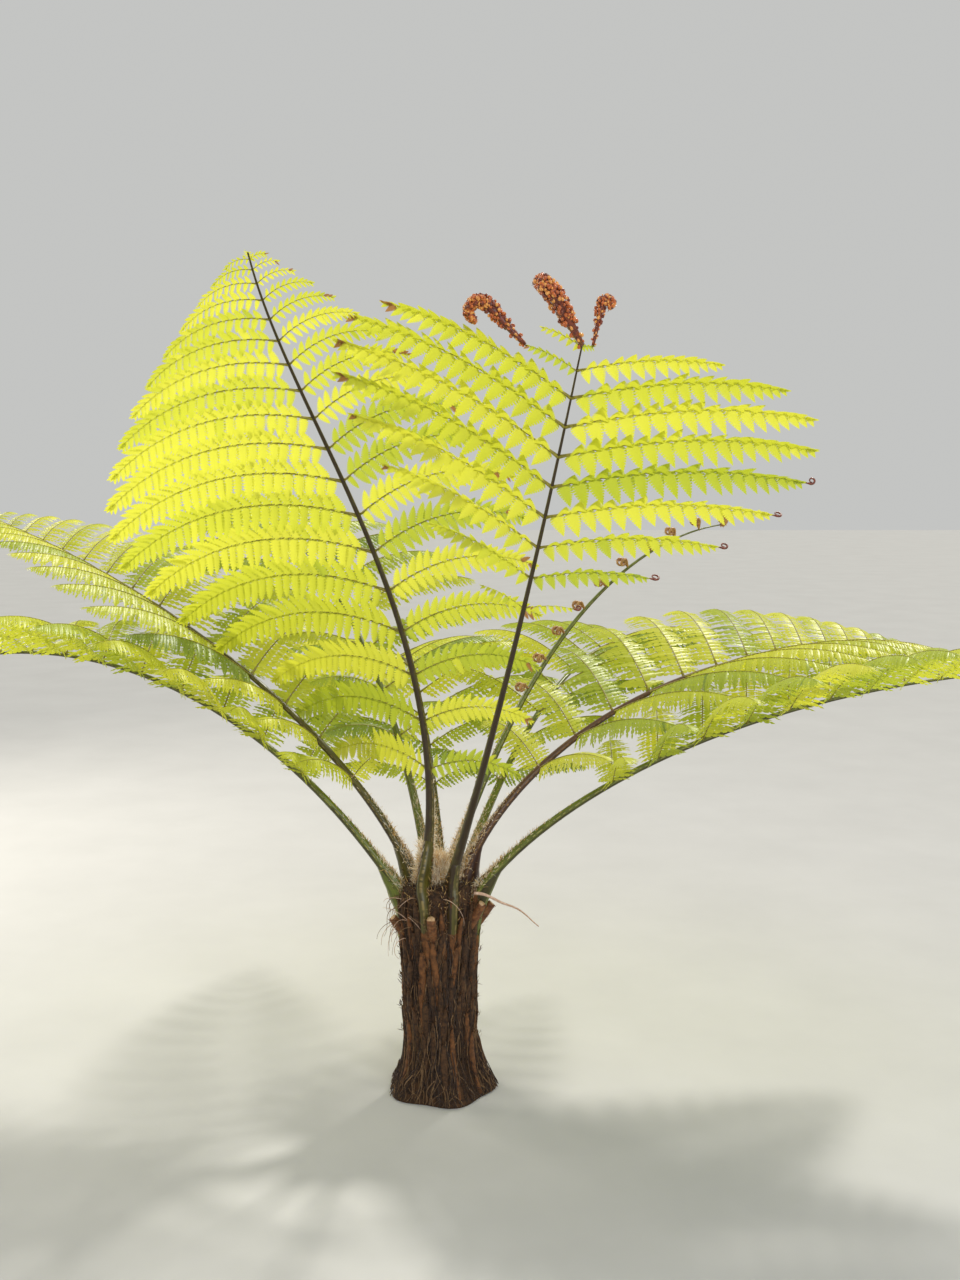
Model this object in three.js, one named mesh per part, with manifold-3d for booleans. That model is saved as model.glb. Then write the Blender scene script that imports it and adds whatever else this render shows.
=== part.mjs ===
// A young lacy tree fern, as a scene of closed solids: a short fibrous trunk under a crown of arching
// fronds. Lengths are millimetres and angles are degrees. +Z is up, and the origin is the middle of the
// flat cut under the trunk. A heading of 0 is +X and 90 is +Y. Each frond is a bare stalk and a blade: a
// rib with pairs of leaflets, each one a thin leaf with a low ridge along its own rib.
import * as THREE from "three";
import { mergeVertices } from "three/addons/utils/BufferGeometryUtils.js";
import Module from "manifold-3d";

const wasm = await Module();
wasm.setup();

// Trunk
const TRUNK_HEIGHT = 515;
const TRUNK_TOP_RADIUS = 92;
const TRUNK_WAIST_RADIUS = 84;
const TRUNK_FOOT_RADIUS = 132;
const FLARE_HEIGHT = 150;
const FLARE_LOBES = 5;
const FLARE_LOBE_DEPTH = 9;
const TRUNK_LEAN = { x: -8, y: 6 };
const SCAR_RELIEF = 4;
const SCARS_ROUND = 6;
const SCAR_TWIST = 2.6; // turns of the scar spiral over the height
const TRUNK_SIDES = 25;
const TRUNK_RINGS = 13;
const BUD = { radius: 44, height: 62, x: 2, y: 8 };

// Gap that neighbouring solids keep
const GAP = 0.3;

// Stalks and ribs
const FOOT_RADIUS = 15.5;
const STALK_RADIUS = 11.5;
const TIP_RADIUS = 1.8;
const FOOT_SWELL = 0.09; // share of the frond over which the foot's swelling fades
const STALK_SIDES = 8;
const STALK_SEGMENTS = 5;
const RIB_SIDES = 5;
const PATH_STEPS = 48;
const BARE_END = 35; // rib between the stalk's end and the lowest leaflets

// Leaflets
const LEAFLET_HALF_WIDTH = 0.125; // of its length
const LEAFLET_THICKNESS = 0.0125; // of its length
const LEAFLET_OUTLINE = [[0, 0.08], [0.16, 0.78], [0.4, 1], [0.72, 0.66], [1, 0]]; // share, width there
const LEAFLET_FOLD = 0.12; // how far the edges hang below the ridge, of the half width
const LEAFLET_LEAN = 24; // from square to the rib, towards the tip
const LEAFLET_STEPS = 25;
const LEAFLET_SIDES = 3; // a flat underside and two slopes
const SHORTEST_LEAFLET = 34;
const BLIND_TILT = 12; // its tipward edge hangs this much, as on a blind
const BLIND_TILT_RISE = 0.12; // and this much more for each degree that the rib climbs
const CROWDING = 1.6; // how much closer the leaflets stand towards the tip
const LOWEST_SHARE = 0.62; // length of the lowest leaflets, of the longest
const WIDEST_AT = 0.3; // share of the blade where the leaflets are longest
const TAPERING = 1.7; // how late their length falls off towards the tip
const LEAFLET_CLEARANCE = 0.5; // each leaflet's, around it, when it is tried against other fronds
const SHORTENED = [1, 0.88, 0.76, 0.64, 0.52]; // shares of its length tried near another frond

// Rolled tips
const KNOB = 0.1; // how much the scales swell and pinch them
const YOUNG_TIP = { straight: 8, coil: 17, turns: 1.1, radius: 6.5 };
const ROLLED_RIB = { straight: 122, coil: 30, turns: 0.6, radius: 20 };
const ROLLED_RIB_TURN = 0.9; // sideways, for each step along the rib
const ROLLED_FROM = 0.3; // of its radius, where a rolled tip starts
const ROLLED_TO = 0.42; // and where it ends

// Leaflets of the frond at the front right whose ends are still rolled up: which pair counted from the
// lowest, which hand, the share of the length that is open, how steeply the rolled end turns up, and its
// shape.
const ROLLED_LEAFLETS = [
  { name: "crozier_left", pair: 8, hand: 1, share: 0.4, lift: 0.8,
    shape: { straight: 108, coil: 28, turns: 0.62, radius: 15.5 } },
  { name: "crozier_right", pair: 9, hand: -1, share: 0.25, lift: 5,
    shape: { straight: 84, coil: 12, turns: 0.7, radius: 10.5 } },
];

// Every frond, those in front first: heading and its change along the length, pitch at foot and tip, how
// late it bends, length, the bare share, where the blade is split at its bend, where its foot stands in
// the crown, the length and number of its leaflets, how far they start above the frond's plane, how much
// they droop and how far that plane is rolled.
// Where a frond's leaflets crowd, lengthen or taper otherwise than the rest, it has its own values, right
// is the share of their length that the leaflets on a crowded right side reach, and nearer is the hand
// whose leaflets rise and droop by values of their own.
const FRONDS = [
  {
    name: "front_right", heading: 298, turn: 0, pitch: [59.6, 68.8], bend: 0.785,
    length: 1389, bare: 0.581, split: 0.755, foot: { heading: 306, out: 41, up: 505 },
    leaflet: 520, pairs: 10, rise: 8, droop: 24, roll: -36, crowding: 1.15, lowest: 0.2, widest: 0.55,
    tapering: 3,
  },
  {
    name: "front_left", heading: 208, turn: 61, pitch: [103.3, 31.2], bend: 0.794,
    length: 1685, bare: 0.173, split: 0.635, foot: { heading: 207, out: 40, up: 509 },
    leaflet: 640, pairs: 19, rise: 12, droop: 58, roll: 25, widest: 0.45, tapering: 1.4,
    right: 0.62,
  },
  {
    name: "left_low", heading: 167, turn: -1.4, pitch: [53.8, -34.2], bend: 1.314,
    length: 1757, bare: 0.235, split: 0.57, foot: { heading: 172, out: 70, up: 459 },
    leaflet: 450, pairs: 17, rise: 26, droop: 50, nearer: { hand: -1, rise: 40, droop: 50 },
  },
  {
    name: "right_low", heading: 4.5, turn: -2, pitch: [70.7, -0.2], bend: 0.403,
    length: 1747, bare: 0.27, split: 0.58, foot: { heading: -6, out: 73, up: 455 },
    leaflet: 450, pairs: 17, rise: 26, droop: 50, nearer: { hand: 1, rise: 40, droop: 50 },
  },
  {
    name: "back_low", heading: 98, turn: 3.5, pitch: [52.2, -29.2], bend: 1.1,
    length: 1585, bare: 0.203, split: 0.546, foot: { heading: 82, out: 76, up: 463 },
    leaflet: 440, pairs: 15, rise: 30, droop: 54,
  },
  {
    name: "back_right", heading: 62, turn: 2, pitch: [48.5, -22.5], bend: 1.22,
    length: 1595, bare: 0.21, split: 0.545, foot: { heading: 50, out: 68, up: 479 },
    leaflet: 420, pairs: 15, rise: 30, droop: 52,
  },
  {
    name: "left_high", heading: 154, turn: -5.6, pitch: [80.4, 13.3], bend: 0.369,
    length: 1788, bare: 0.18, split: 0.55, foot: { heading: 150, out: 57, up: 491 },
    leaflet: 470, pairs: 18, rise: 32, droop: 54, nearer: { hand: -1, rise: 27, droop: 36 },
  },
  {
    name: "right_high", heading: 25.9, turn: 1.5, pitch: [88.6, -13], bend: 0.435,
    length: 1746, bare: 0.21, split: 0.55, foot: { heading: 17, out: 57, up: 491 },
    leaflet: 470, pairs: 18, rise: 34, droop: 54, nearer: { hand: 1, rise: 20, droop: 36 },
  },
  {
    name: "back_left", heading: 122.5, turn: 0.8, pitch: [73.2, -0.7], bend: 1.036,
    length: 1611, bare: 0.237, split: 0.593, foot: { heading: 112, out: 52, up: 497 },
    leaflet: 430, pairs: 15, rise: 24, droop: 50,
  },
];

// The young frond: its rib carries leaflets that are still small coils on short stems.
const YOUNG = {
  name: "young", heading: 33.7, turn: -1.5, pitch: [65.1, 5], bend: 1.834, length: 1289, bare: 0.406,
  foot: { heading: 30, out: 17, up: 513 },
};
const YOUNG_COILS = { pairs: 9, apart: 28, straight: 22, coil: 11, turns: 0.8, radius: 4.5, sides: 4 };

// Old stalks, cut short: heading, height on the trunk, pitch and length.
const STUBS = [
  { heading: 10, up: 385, pitch: 52, length: 92 },
  { heading: 335, up: 405, pitch: 60, length: 84 },
  { heading: 40, up: 350, pitch: 48, length: 70 },
  { heading: 190, up: 380, pitch: 55, length: 66 },
  { heading: 262, up: 392, pitch: 62, length: 74 },
  { heading: 130, up: 372, pitch: 50, length: 72 },
];
const STUB_RADIUS = 13;

const LEAF = new THREE.MeshStandardMaterial({ color: 0x9dbb2c, roughness: 0.55 });
const STALK = new THREE.MeshStandardMaterial({ color: 0x5a4a20, roughness: 0.6 });
const BARK = new THREE.MeshStandardMaterial({ color: 0x3a2819, roughness: 0.95 });
const WOOL = new THREE.MeshStandardMaterial({ color: 0xb98a4a, roughness: 0.95 });

const rad = THREE.MathUtils.degToRad;
const mix = THREE.MathUtils.lerp;
const clamp = THREE.MathUtils.clamp;
const UP = new THREE.Vector3(0, 0, 1);

// A closed solid from a geometry, with its shared corners merged.
function solidOf(geometry) {
  const bare = new THREE.BufferGeometry();
  bare.setAttribute("position", geometry.getAttribute("position"));
  bare.setIndex(geometry.index);
  const merged = mergeVertices(bare, 1e-3);
  const mesh = new wasm.Mesh({
    numProp: 3,
    vertProperties: merged.attributes.position.array,
    triVerts: new Uint32Array(merged.index.array),
  });
  return new wasm.Manifold(mesh);
}

function geometryOf(solid) {
  const { numProp, numVert, vertProperties, triVerts } = solid.getMesh();
  const position = new Float32Array(numVert * 3);
  for (let i = 0; i < numVert; i++) {
    position.set(vertProperties.subarray(i * numProp, i * numProp + 3), i * 3);
  }
  const geometry = new THREE.BufferGeometry();
  geometry.setAttribute("position", new THREE.BufferAttribute(position, 3));
  geometry.setIndex(new THREE.BufferAttribute(new Uint32Array(triVerts), 1));
  geometry.computeVertexNormals();
  return geometry;
}

// A cylinder bent along a path. place(share) gives the section there: its middle, the direction its
// width runs in, the direction of travel, its half width and half thickness, and how far its edges hang.
function limb(sides, segments, place, pointed = false) {
  const geometry = new THREE.CylinderGeometry(pointed ? 0 : 1, 1, 1, sides, segments);
  const position = geometry.getAttribute("position");
  for (let i = 0; i < position.count; i++) {
    const share = position.getY(i) + 0.5;
    const narrowing = pointed ? 1 - share : 1;
    const across = narrowing > 1e-6 ? position.getX(i) / narrowing : 0;
    const through = narrowing > 1e-6 ? position.getZ(i) / narrowing : 0;
    const section = place(Math.round(share * segments) / segments);
    const thick = new THREE.Vector3().crossVectors(section.wide, section.travel).normalize();
    const point = section.middle
      .clone()
      .addScaledVector(section.wide, across * section.halfWidth)
      .addScaledVector(thick, through * section.halfThickness - Math.abs(across) * (section.fold ?? 0));
    position.setXYZ(i, point.x, point.y, point.z);
  }
  return solidOf(geometry);
}

function direction(heading, pitch) {
  const level = Math.cos(pitch);
  return new THREE.Vector3(Math.cos(heading) * level, Math.sin(heading) * level, Math.sin(pitch));
}

// The part of a vector that is square to another, at length 1.
function squareTo(vector, other) {
  return vector.clone().addScaledVector(other, -vector.dot(other)).normalize();
}

// Trunk radius at a height, without its scars.
function trunkRadius(height) {
  const waist = mix(TRUNK_WAIST_RADIUS, TRUNK_TOP_RADIUS, clamp(height / TRUNK_HEIGHT, 0, 1) ** 2);
  const flare = Math.max(0, 1 - height / FLARE_HEIGHT) ** 2;
  return waist + (TRUNK_FOOT_RADIUS - TRUNK_WAIST_RADIUS) * flare;
}

function trunkMiddle(height) {
  const share = height / TRUNK_HEIGHT;
  return new THREE.Vector3(TRUNK_LEAN.x * share, TRUNK_LEAN.y * share, height);
}

function trunk(spare = 0) {
  const geometry = new THREE.CylinderGeometry(1, 1, 1, TRUNK_SIDES, TRUNK_RINGS);
  const position = geometry.getAttribute("position");
  for (let i = 0; i < position.count; i++) {
    const share = position.getY(i) + 0.5;
    const height = share * TRUNK_HEIGHT + spare * Math.sign(share - 0.5);
    const level = Math.hypot(position.getX(i), position.getZ(i));
    const angle = Math.atan2(position.getX(i), position.getZ(i));
    const scars = Math.cos(SCARS_ROUND * angle + SCAR_TWIST * 2 * Math.PI * share);
    const bands = Math.cos(share * Math.PI * TRUNK_RINGS);
    const lobes = Math.cos(FLARE_LOBES * angle) * Math.max(0, 1 - height / FLARE_HEIGHT);
    const relief = SCAR_RELIEF * (0.6 * scars + 0.4 * bands) + FLARE_LOBE_DEPTH * lobes;
    const crown = share > 0.99 ? 0.86 : 1;
    const radius = level * (crown * (trunkRadius(height) + relief) + spare);
    const middle = trunkMiddle(Math.max(0, height));
    const x = middle.x + radius * Math.cos(angle);
    const y = middle.y + radius * Math.sin(angle);
    position.setXYZ(i, x, y, height);
  }
  return solidOf(geometry);
}

// The line of a frond's rib from its foot, with its direction and its level side at each step.
function ribLine(frond) {
  const turnAt = (share) => rad(frond.heading + frond.turn * share ** 1.5);
  const pitchAt = (share) => rad(mix(frond.pitch[0], frond.pitch[1], share ** frond.bend));
  const step = frond.length / PATH_STEPS;
  const outward = direction(rad(frond.foot.heading), 0);
  const point = trunkMiddle(frond.foot.up).addScaledVector(outward, frond.foot.out);
  const line = [];
  for (let i = 0; i <= PATH_STEPS; i++) {
    const share = i / PATH_STEPS;
    const middle = (i + 0.5) / PATH_STEPS;
    const heading = turnAt(share);
    const side = new THREE.Vector3(Math.sin(heading), -Math.cos(heading), 0);
    line.push({ point: point.clone(), travel: direction(heading, pitchAt(share)), side });
    point.addScaledVector(direction(turnAt(middle), pitchAt(middle)), step);
  }
  return line;
}

function alongLine(line, share) {
  const x = clamp(share, 0, 1) * (line.length - 1);
  const i = Math.min(Math.floor(x), line.length - 2);
  const k = x - i;
  return {
    point: line[i].point.clone().lerp(line[i + 1].point, k),
    travel: line[i].travel.clone().lerp(line[i + 1].travel, k).normalize(),
    side: line[i].side.clone().lerp(line[i + 1].side, k).normalize(),
  };
}

function ribRadius(share) {
  const swell = (FOOT_RADIUS - STALK_RADIUS) * Math.exp(-share / FOOT_SWELL);
  return mix(STALK_RADIUS, TIP_RADIUS, share ** 0.8) + swell;
}

// A round limb along a frond's line, with a section at each of the shares.
function ribStretch(line, shares, sides, spare = 0) {
  const segments = shares.length - 1;
  const place = (along) => {
    const share = shares[Math.round(along * segments)];
    const { point, travel, side } = alongLine(line, share);
    const radius = ribRadius(share) + spare;
    return { middle: point, wide: side, travel, halfWidth: radius, halfThickness: radius };
  };
  return limb(sides, segments, place);
}

// Evenly spaced shares over a bare stretch.
function evenShares(from, to, segments) {
  return Array.from({ length: segments + 1 }, (_, i) => mix(from, to, i / segments));
}

// Leaflet length at a share of the blade, 0 at the lowest pair and 1 at the tip.
function leafletLength(frond, share) {
  const widest = frond.widest ?? WIDEST_AT;
  const lowest = frond.lowest ?? LOWEST_SHARE;
  const grow = mix(lowest, 1, Math.sin((Math.min(1, share / widest) * Math.PI) / 2));
  const past = Math.max(0, share - widest) / (1 - widest + 0.02);
  return frond.leaflet * grow * Math.max(0, 1 - past ** (frond.tapering ?? TAPERING));
}

// Shares of the frond's length where its pairs of leaflets stand.
function leafletStations(frond) {
  return Array.from({ length: frond.pairs }, (_, i) => {
    const share = 1 - (1 - (0.985 * i) / (frond.pairs - 1)) ** (frond.crowding ?? CROWDING);
    return mix(frond.bare, 1, share);
  });
}

// The line of a leaflet's own rib, and which way is up for it: it leaves the frond's rib sideways and
// bends down under its weight.
function leafletLine(frond, at, hand, length) {
  const { rise, droop } = frond.nearer?.hand === hand ? frond.nearer : frond;
  const side = at.side.clone().applyAxisAngle(at.travel, rad(frond.roll ?? 0));
  const up = new THREE.Vector3().crossVectors(side, at.travel);
  const lean = rad(LEAFLET_LEAN);
  const start = new THREE.Vector3()
    .addScaledVector(side, Math.cos(lean) * hand)
    .addScaledVector(at.travel, Math.sin(lean))
    .addScaledVector(up, Math.tan(rad(rise)))
    .normalize();
  const heading = Math.atan2(start.y, start.x);
  const pitchAt = (share) => Math.asin(start.z) - rad(droop) * share ** 1.2;
  const point = at.point.clone();
  const path = [];
  for (let i = 0; i <= LEAFLET_STEPS; i++) {
    path.push({ point: point.clone(), travel: direction(heading, pitchAt(i / LEAFLET_STEPS)) });
    point.addScaledVector(direction(heading, pitchAt((i + 0.5) / LEAFLET_STEPS)), length / LEAFLET_STEPS);
  }
  return { path, up };
}

// One leaflet, which ends in a point.
function leaflet(frond, at, hand, length, spare = 0) {
  const { path, up } = leafletLine(frond, at, hand, length);
  const climb = Math.max(0, THREE.MathUtils.radToDeg(Math.asin(at.travel.z)));
  const tilt = rad(BLIND_TILT + BLIND_TILT_RISE * climb);
  const segments = LEAFLET_OUTLINE.length - 1;
  const place = (along) => {
    const [share, width] = LEAFLET_OUTLINE[Math.round(along * segments)];
    const { point: middle, travel } = path[Math.round(share * LEAFLET_STEPS)];
    const normal = squareTo(up, travel);
    const tipward = new THREE.Vector3().crossVectors(normal, travel);
    tipward.multiplyScalar(Math.sign(tipward.dot(at.travel)) || 1);
    const face = normal.multiplyScalar(Math.cos(tilt)).addScaledVector(tipward, Math.sin(tilt));
    const wide = new THREE.Vector3().crossVectors(travel, face).normalize();
    const halfWidth = length * LEAFLET_HALF_WIDTH * width;
    const halfThickness = 0.5 * length * LEAFLET_THICKNESS * (1 - 0.5 * share) + spare;
    const fold = share > 0 ? halfWidth * LEAFLET_FOLD : 0;
    return { middle, wide, travel, halfWidth: halfWidth + spare, halfThickness, fold };
  };
  return limb(LEAFLET_SIDES, segments, place, true);
}

// A young end that is still rolled up: it runs straight, then winds in on itself about an axis.
function crozier({ start, travel: from, axis, straight, coil, turns, radius, sides = 6 }, spare = 0) {
  const straightRows = Math.ceil(straight / (2.5 * radius));
  const coilRows = Math.round(turns * (sides + 3));
  const segments = straightRows + coilRows;
  const point = start.clone();
  const heading = from.clone().normalize();
  const rows = [];
  for (let i = 0; i <= segments; i++) {
    const wound = Math.max(0, i - straightRows) / coilRows;
    const knob = 1 + KNOB * (i % 2 ? 1 : -1) * (i > 0 && i < segments ? 1 : 0);
    const run = Math.min(1, i / straightRows);
    const thickness = radius * mix(ROLLED_FROM, 1, run) * mix(1, ROLLED_TO, wound);
    rows.push({ middle: point.clone(), travel: heading.clone(), radius: thickness * knob + spare });
    if (i < straightRows) {
      point.addScaledVector(heading, straight / straightRows);
    } else {
      const angle = (turns * 2 * Math.PI) / coilRows;
      const winding = mix(coil, coil * 0.4, wound);
      heading.applyAxisAngle(axis, angle / 2);
      point.addScaledVector(heading, winding * angle);
      heading.applyAxisAngle(axis, angle / 2);
    }
  }
  const place = (along) => {
    const { middle, travel, radius: half } = rows[Math.round(along * segments)];
    return { middle, wide: axis, travel, halfWidth: half, halfThickness: half };
  };
  return limb(sides, segments, place);
}

// Only the body of a cut solid that holds the most material.
function largest(solid) {
  return solid.decompose().reduce((best, body) => (body.volume() > best.volume() ? body : best));
}

const group = new THREE.Group();
group.name = "tree_fern";

function addNode(name, solid, material) {
  const mesh = new THREE.Mesh(geometryOf(solid), material);
  mesh.name = name;
  group.add(mesh);
}

// Trunk and the parts that stand on it
addNode("trunk", trunk(), BARK);
const trunkSpace = trunk(GAP);
const taken = [];

function take(owner, solid) {
  taken.push({ owner, solid });
}

// Whether a solid keeps off everything that stands already, its owner's own parts aside.
function isFree(solid, owner) {
  return taken.every((other) => other.owner === owner || solid.intersect(other.solid).isEmpty());
}

const grown = FRONDS.map((frond) => ({ frond, line: ribLine(frond) }));
const young = ribLine(YOUNG);
for (const { frond, line } of [...grown, { frond: YOUNG, line: young }]) {
  const shares = evenShares(0, frond.bare - BARE_END / frond.length, STALK_SEGMENTS);
  const stalk = ribStretch(line, shares, STALK_SIDES);
  if (!isFree(stalk)) {
    throw new Error(`the stalk of ${frond.name} touches another`);
  }
  addNode(`stalk_${frond.name}`, largest(stalk.subtract(trunkSpace)), STALK);
  take(frond.name, ribStretch(line, shares, STALK_SIDES, GAP));
}

STUBS.forEach((stub, i) => {
  const out = direction(rad(stub.heading), 0);
  const travel = direction(rad(stub.heading), rad(stub.pitch));
  const start = trunkMiddle(stub.up).addScaledVector(out, trunkRadius(stub.up) - STUB_RADIUS);
  const side = new THREE.Vector3(Math.sin(rad(stub.heading)), -Math.cos(rad(stub.heading)), 0);
  const body = (spare) =>
    limb(STALK_SIDES, 2, (along) => {
      const radius = mix(STUB_RADIUS, STUB_RADIUS * 0.8, along) + spare;
      const middle = start.clone().addScaledVector(travel, along * stub.length);
      return { middle, wide: side, travel, halfWidth: radius, halfThickness: radius };
    });
  if (!isFree(body(0))) {
    throw new Error(`old stalk ${i + 1} touches a stalk`);
  }
  addNode(`old_stalk_${i + 1}`, largest(body(0).subtract(trunkSpace)), BARK);
  take("old_stalk", body(GAP));
});

// The woolly bud, cut clear of the stalks around it
const budMiddle = trunkMiddle(TRUNK_HEIGHT);
const dome = new THREE.SphereGeometry(1, 10, 5);
dome.rotateX(Math.PI / 2);
dome.scale(BUD.radius, BUD.radius, BUD.height);
dome.translate(budMiddle.x + BUD.x, budMiddle.y + BUD.y, budMiddle.z - 8);
const bud = taken.reduce((body, other) => body.subtract(other.solid), solidOf(dome).subtract(trunkSpace));
addNode("crown_bud", largest(bud), WOOL);
take("crown_bud", bud);

// The young frond
const youngShares = evenShares(YOUNG.bare - (BARE_END - GAP) / YOUNG.length, 1, 9);
let youngRib = ribStretch(young, youngShares, RIB_SIDES);
for (let i = 0; i < YOUNG_COILS.pairs; i++) {
  const { point, travel, side } = alongLine(young, mix(YOUNG.bare, 0.94, i / (YOUNG_COILS.pairs - 1)));
  const up = new THREE.Vector3().crossVectors(side, travel);
  for (const hand of [1, -1]) {
    const away = up.clone().multiplyScalar(Math.cos(rad(YOUNG_COILS.apart)));
    away.addScaledVector(side, hand * Math.sin(rad(YOUNG_COILS.apart)));
    const axis = new THREE.Vector3().crossVectors(travel, away).normalize();
    youngRib = youngRib.add(crozier({ ...YOUNG_COILS, start: point, travel: away, axis }));
  }
}
if (!isFree(youngRib)) {
  throw new Error("the young frond touches a stalk");
}
addNode("frond_young", youngRib, STALK);
take("frond_young", youngRib);

// Rolled tips: two end a rib, and the others end a leaflet
function tipOf(line, clear) {
  const { point, travel, side } = line[line.length - 1];
  return { start: point.clone().addScaledVector(travel, clear), travel, side };
}

const frontRight = grown.find(({ frond }) => frond.name === "front_right");
const youngTip = tipOf(young, 2 * GAP);
const openTip = tipOf(frontRight.line, GAP + ROLLED_FROM * ROLLED_RIB.radius * ROLLED_RIB_TURN);
openTip.travel = openTip.travel.clone().addScaledVector(openTip.side, ROLLED_RIB_TURN).normalize();
const croziers = [
  { name: "crozier_young", ...youngTip, axis: youngTip.side, ...YOUNG_TIP },
  {
    name: "crozier_front_right",
    ...openTip,
    axis: squareTo(openTip.side, openTip.travel),
    ...ROLLED_RIB,
  },
];
for (const rolled of ROLLED_LEAFLETS) {
  const { frond, line } = frontRight;
  const station = leafletStations(frond)[rolled.pair];
  const length = rolled.share * leafletLength(frond, (station - frond.bare) / (1 - frond.bare));
  const at = alongLine(line, station);
  const { path, up } = leafletLine(frond, at, rolled.hand, length);
  const { point, travel: end } = path[path.length - 1];
  const travel = end.clone().addScaledVector(UP, rolled.lift).normalize();
  const axis = squareTo(up, travel).multiplyScalar(-rolled.hand);
  const clear = GAP + ROLLED_FROM * rolled.shape.radius * Math.min(1, rolled.lift);
  const start = point.clone().addScaledVector(travel, clear);
  croziers.push({ name: rolled.name, start, travel, axis, ...rolled.shape });
}
for (const tip of croziers) {
  const solid = crozier(tip);
  if (!isFree(solid)) {
    throw new Error(`${tip.name} touches another part`);
  }
  addNode(tip.name, solid, WOOL);
  take(tip.name, crozier(tip, GAP / 2));
}

// Blades, each in two pieces that meet at its bend. All ribs come first, so that leaflets grow around
// them.
const pieces = grown.flatMap(({ frond, line }) => {
  const from = frond.bare - (BARE_END - GAP) / frond.length;
  const ends = [
    { name: `frond_${frond.name}_inner`, from, to: frond.split },
    { name: `frond_${frond.name}_outer`, from: frond.split + GAP / frond.length, to: 1 },
  ];
  return ends.map(({ name, from, to }) => {
    const stations = leafletStations(frond).filter((share) => share > from && share < to);
    const rib = ribStretch(line, [from, ...stations, to], RIB_SIDES);
    if (!isFree(rib)) {
      throw new Error(`the rib of ${name} touches another part`);
    }
    take(name, ribStretch(line, [from, ...stations, to], RIB_SIDES, GAP));
    return { name, frond, line, stations, solid: rib };
  });
});

// Share of a leaflet's full length on its side of the rib, less where its end is still rolled up.
function openShare(frond, station, hand) {
  const pair = leafletStations(frond).indexOf(station);
  const isRolled = (rolled) => frond === frontRight.frond && rolled.pair === pair && rolled.hand === hand;
  const crowded = hand < 0 ? (frond.right ?? 1) : 1;
  return ROLLED_LEAFLETS.find(isRolled)?.share ?? crowded;
}

for (const piece of pieces) {
  const { name, frond, line, stations } = piece;
  for (const station of stations) {
    const full = leafletLength(frond, (station - frond.bare) / (1 - frond.bare));
    const at = alongLine(line, station);
    for (const hand of full < SHORTEST_LEAFLET ? [] : [1, -1]) {
      const length = full * openShare(frond, station, hand);
      const fits = SHORTENED.find((share) =>
        isFree(leaflet(frond, at, hand, share * length, LEAFLET_CLEARANCE), name),
      );
      if (fits) {
        piece.solid = piece.solid.add(leaflet(frond, at, hand, fits * length));
      }
    }
  }
  addNode(name, piece.solid, LEAF);
  take(name, piece.solid);
}

export default group;
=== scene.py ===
"""The looks of a young lacy tree fern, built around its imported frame: toothed leaflets, ribs and stalks,
rolled tips under rust scales, a woolly bud and a trunk of old stalk bases and wiry roots.

Lengths are metres and angles are degrees. A heading of 0 is +X and 90 is +Y. The fronds grow by the rule
that shaped their solids, carried one step finer: each leaflet is a thin rib with two rows of toothed
segments."""

import math

import bpy
import numpy as np
from bpy.props import FloatProperty, FloatVectorProperty, IntProperty, PointerProperty
from mathutils import Matrix, Vector


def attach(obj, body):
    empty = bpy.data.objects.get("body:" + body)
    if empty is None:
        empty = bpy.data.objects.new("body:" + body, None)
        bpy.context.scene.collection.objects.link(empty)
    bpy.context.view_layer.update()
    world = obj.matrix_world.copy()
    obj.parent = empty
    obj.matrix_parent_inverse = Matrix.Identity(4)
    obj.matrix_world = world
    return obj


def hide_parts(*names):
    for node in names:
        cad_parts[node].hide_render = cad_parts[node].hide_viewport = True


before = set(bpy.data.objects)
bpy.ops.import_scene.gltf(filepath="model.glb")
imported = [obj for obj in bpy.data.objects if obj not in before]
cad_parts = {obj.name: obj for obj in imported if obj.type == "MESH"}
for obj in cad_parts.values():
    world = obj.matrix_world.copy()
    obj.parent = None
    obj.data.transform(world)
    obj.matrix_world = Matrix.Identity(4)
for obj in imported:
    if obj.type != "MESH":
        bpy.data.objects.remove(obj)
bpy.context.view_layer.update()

bl_info = {
    "name": "Lacy tree fern",
    "version": (1, 0, 0),
    "blender": (4, 5, 0),
    "location": "View3D > Sidebar > Fern",
    "description": "Builds the leaves, stalks, rolled tips and trunk of a young tree fern",
    "category": "Add Mesh",
}

BODY = "root"
UP = np.array([0, 0, 1.0])
LIT_POINT = Vector((0, 0, 1.0))  # where the lights point
CAMERA_X = 0.095
GOLDEN_ANGLE = math.pi * (3 - math.sqrt(5))

# Trunk
TRUNK_HEIGHT = 0.515
TRUNK_TOP_RADIUS = 0.092
TRUNK_WAIST_RADIUS = 0.084
TRUNK_FOOT_RADIUS = 0.132
FLARE_HEIGHT = 0.15
FLARE_LOBES = 5
FLARE_LOBE_DEPTH = 0.009
TRUNK_LEAN = np.array([-0.008, 0.006, 0.0])
BUD = {"radius": 0.044, "height": 0.062, "x": 0.002, "y": 0.008, "sunk": 0.008}

# Stalks and ribs
FOOT_RADIUS = 0.0155
STALK_RADIUS = 0.0115
TIP_RADIUS = 0.0018
FOOT_SWELL = 0.09
PATH_STEPS = 48
STALK_ROWS = 97
STALK_SIDES = 16
GROOVE_DEPTH = 0.16

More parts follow.
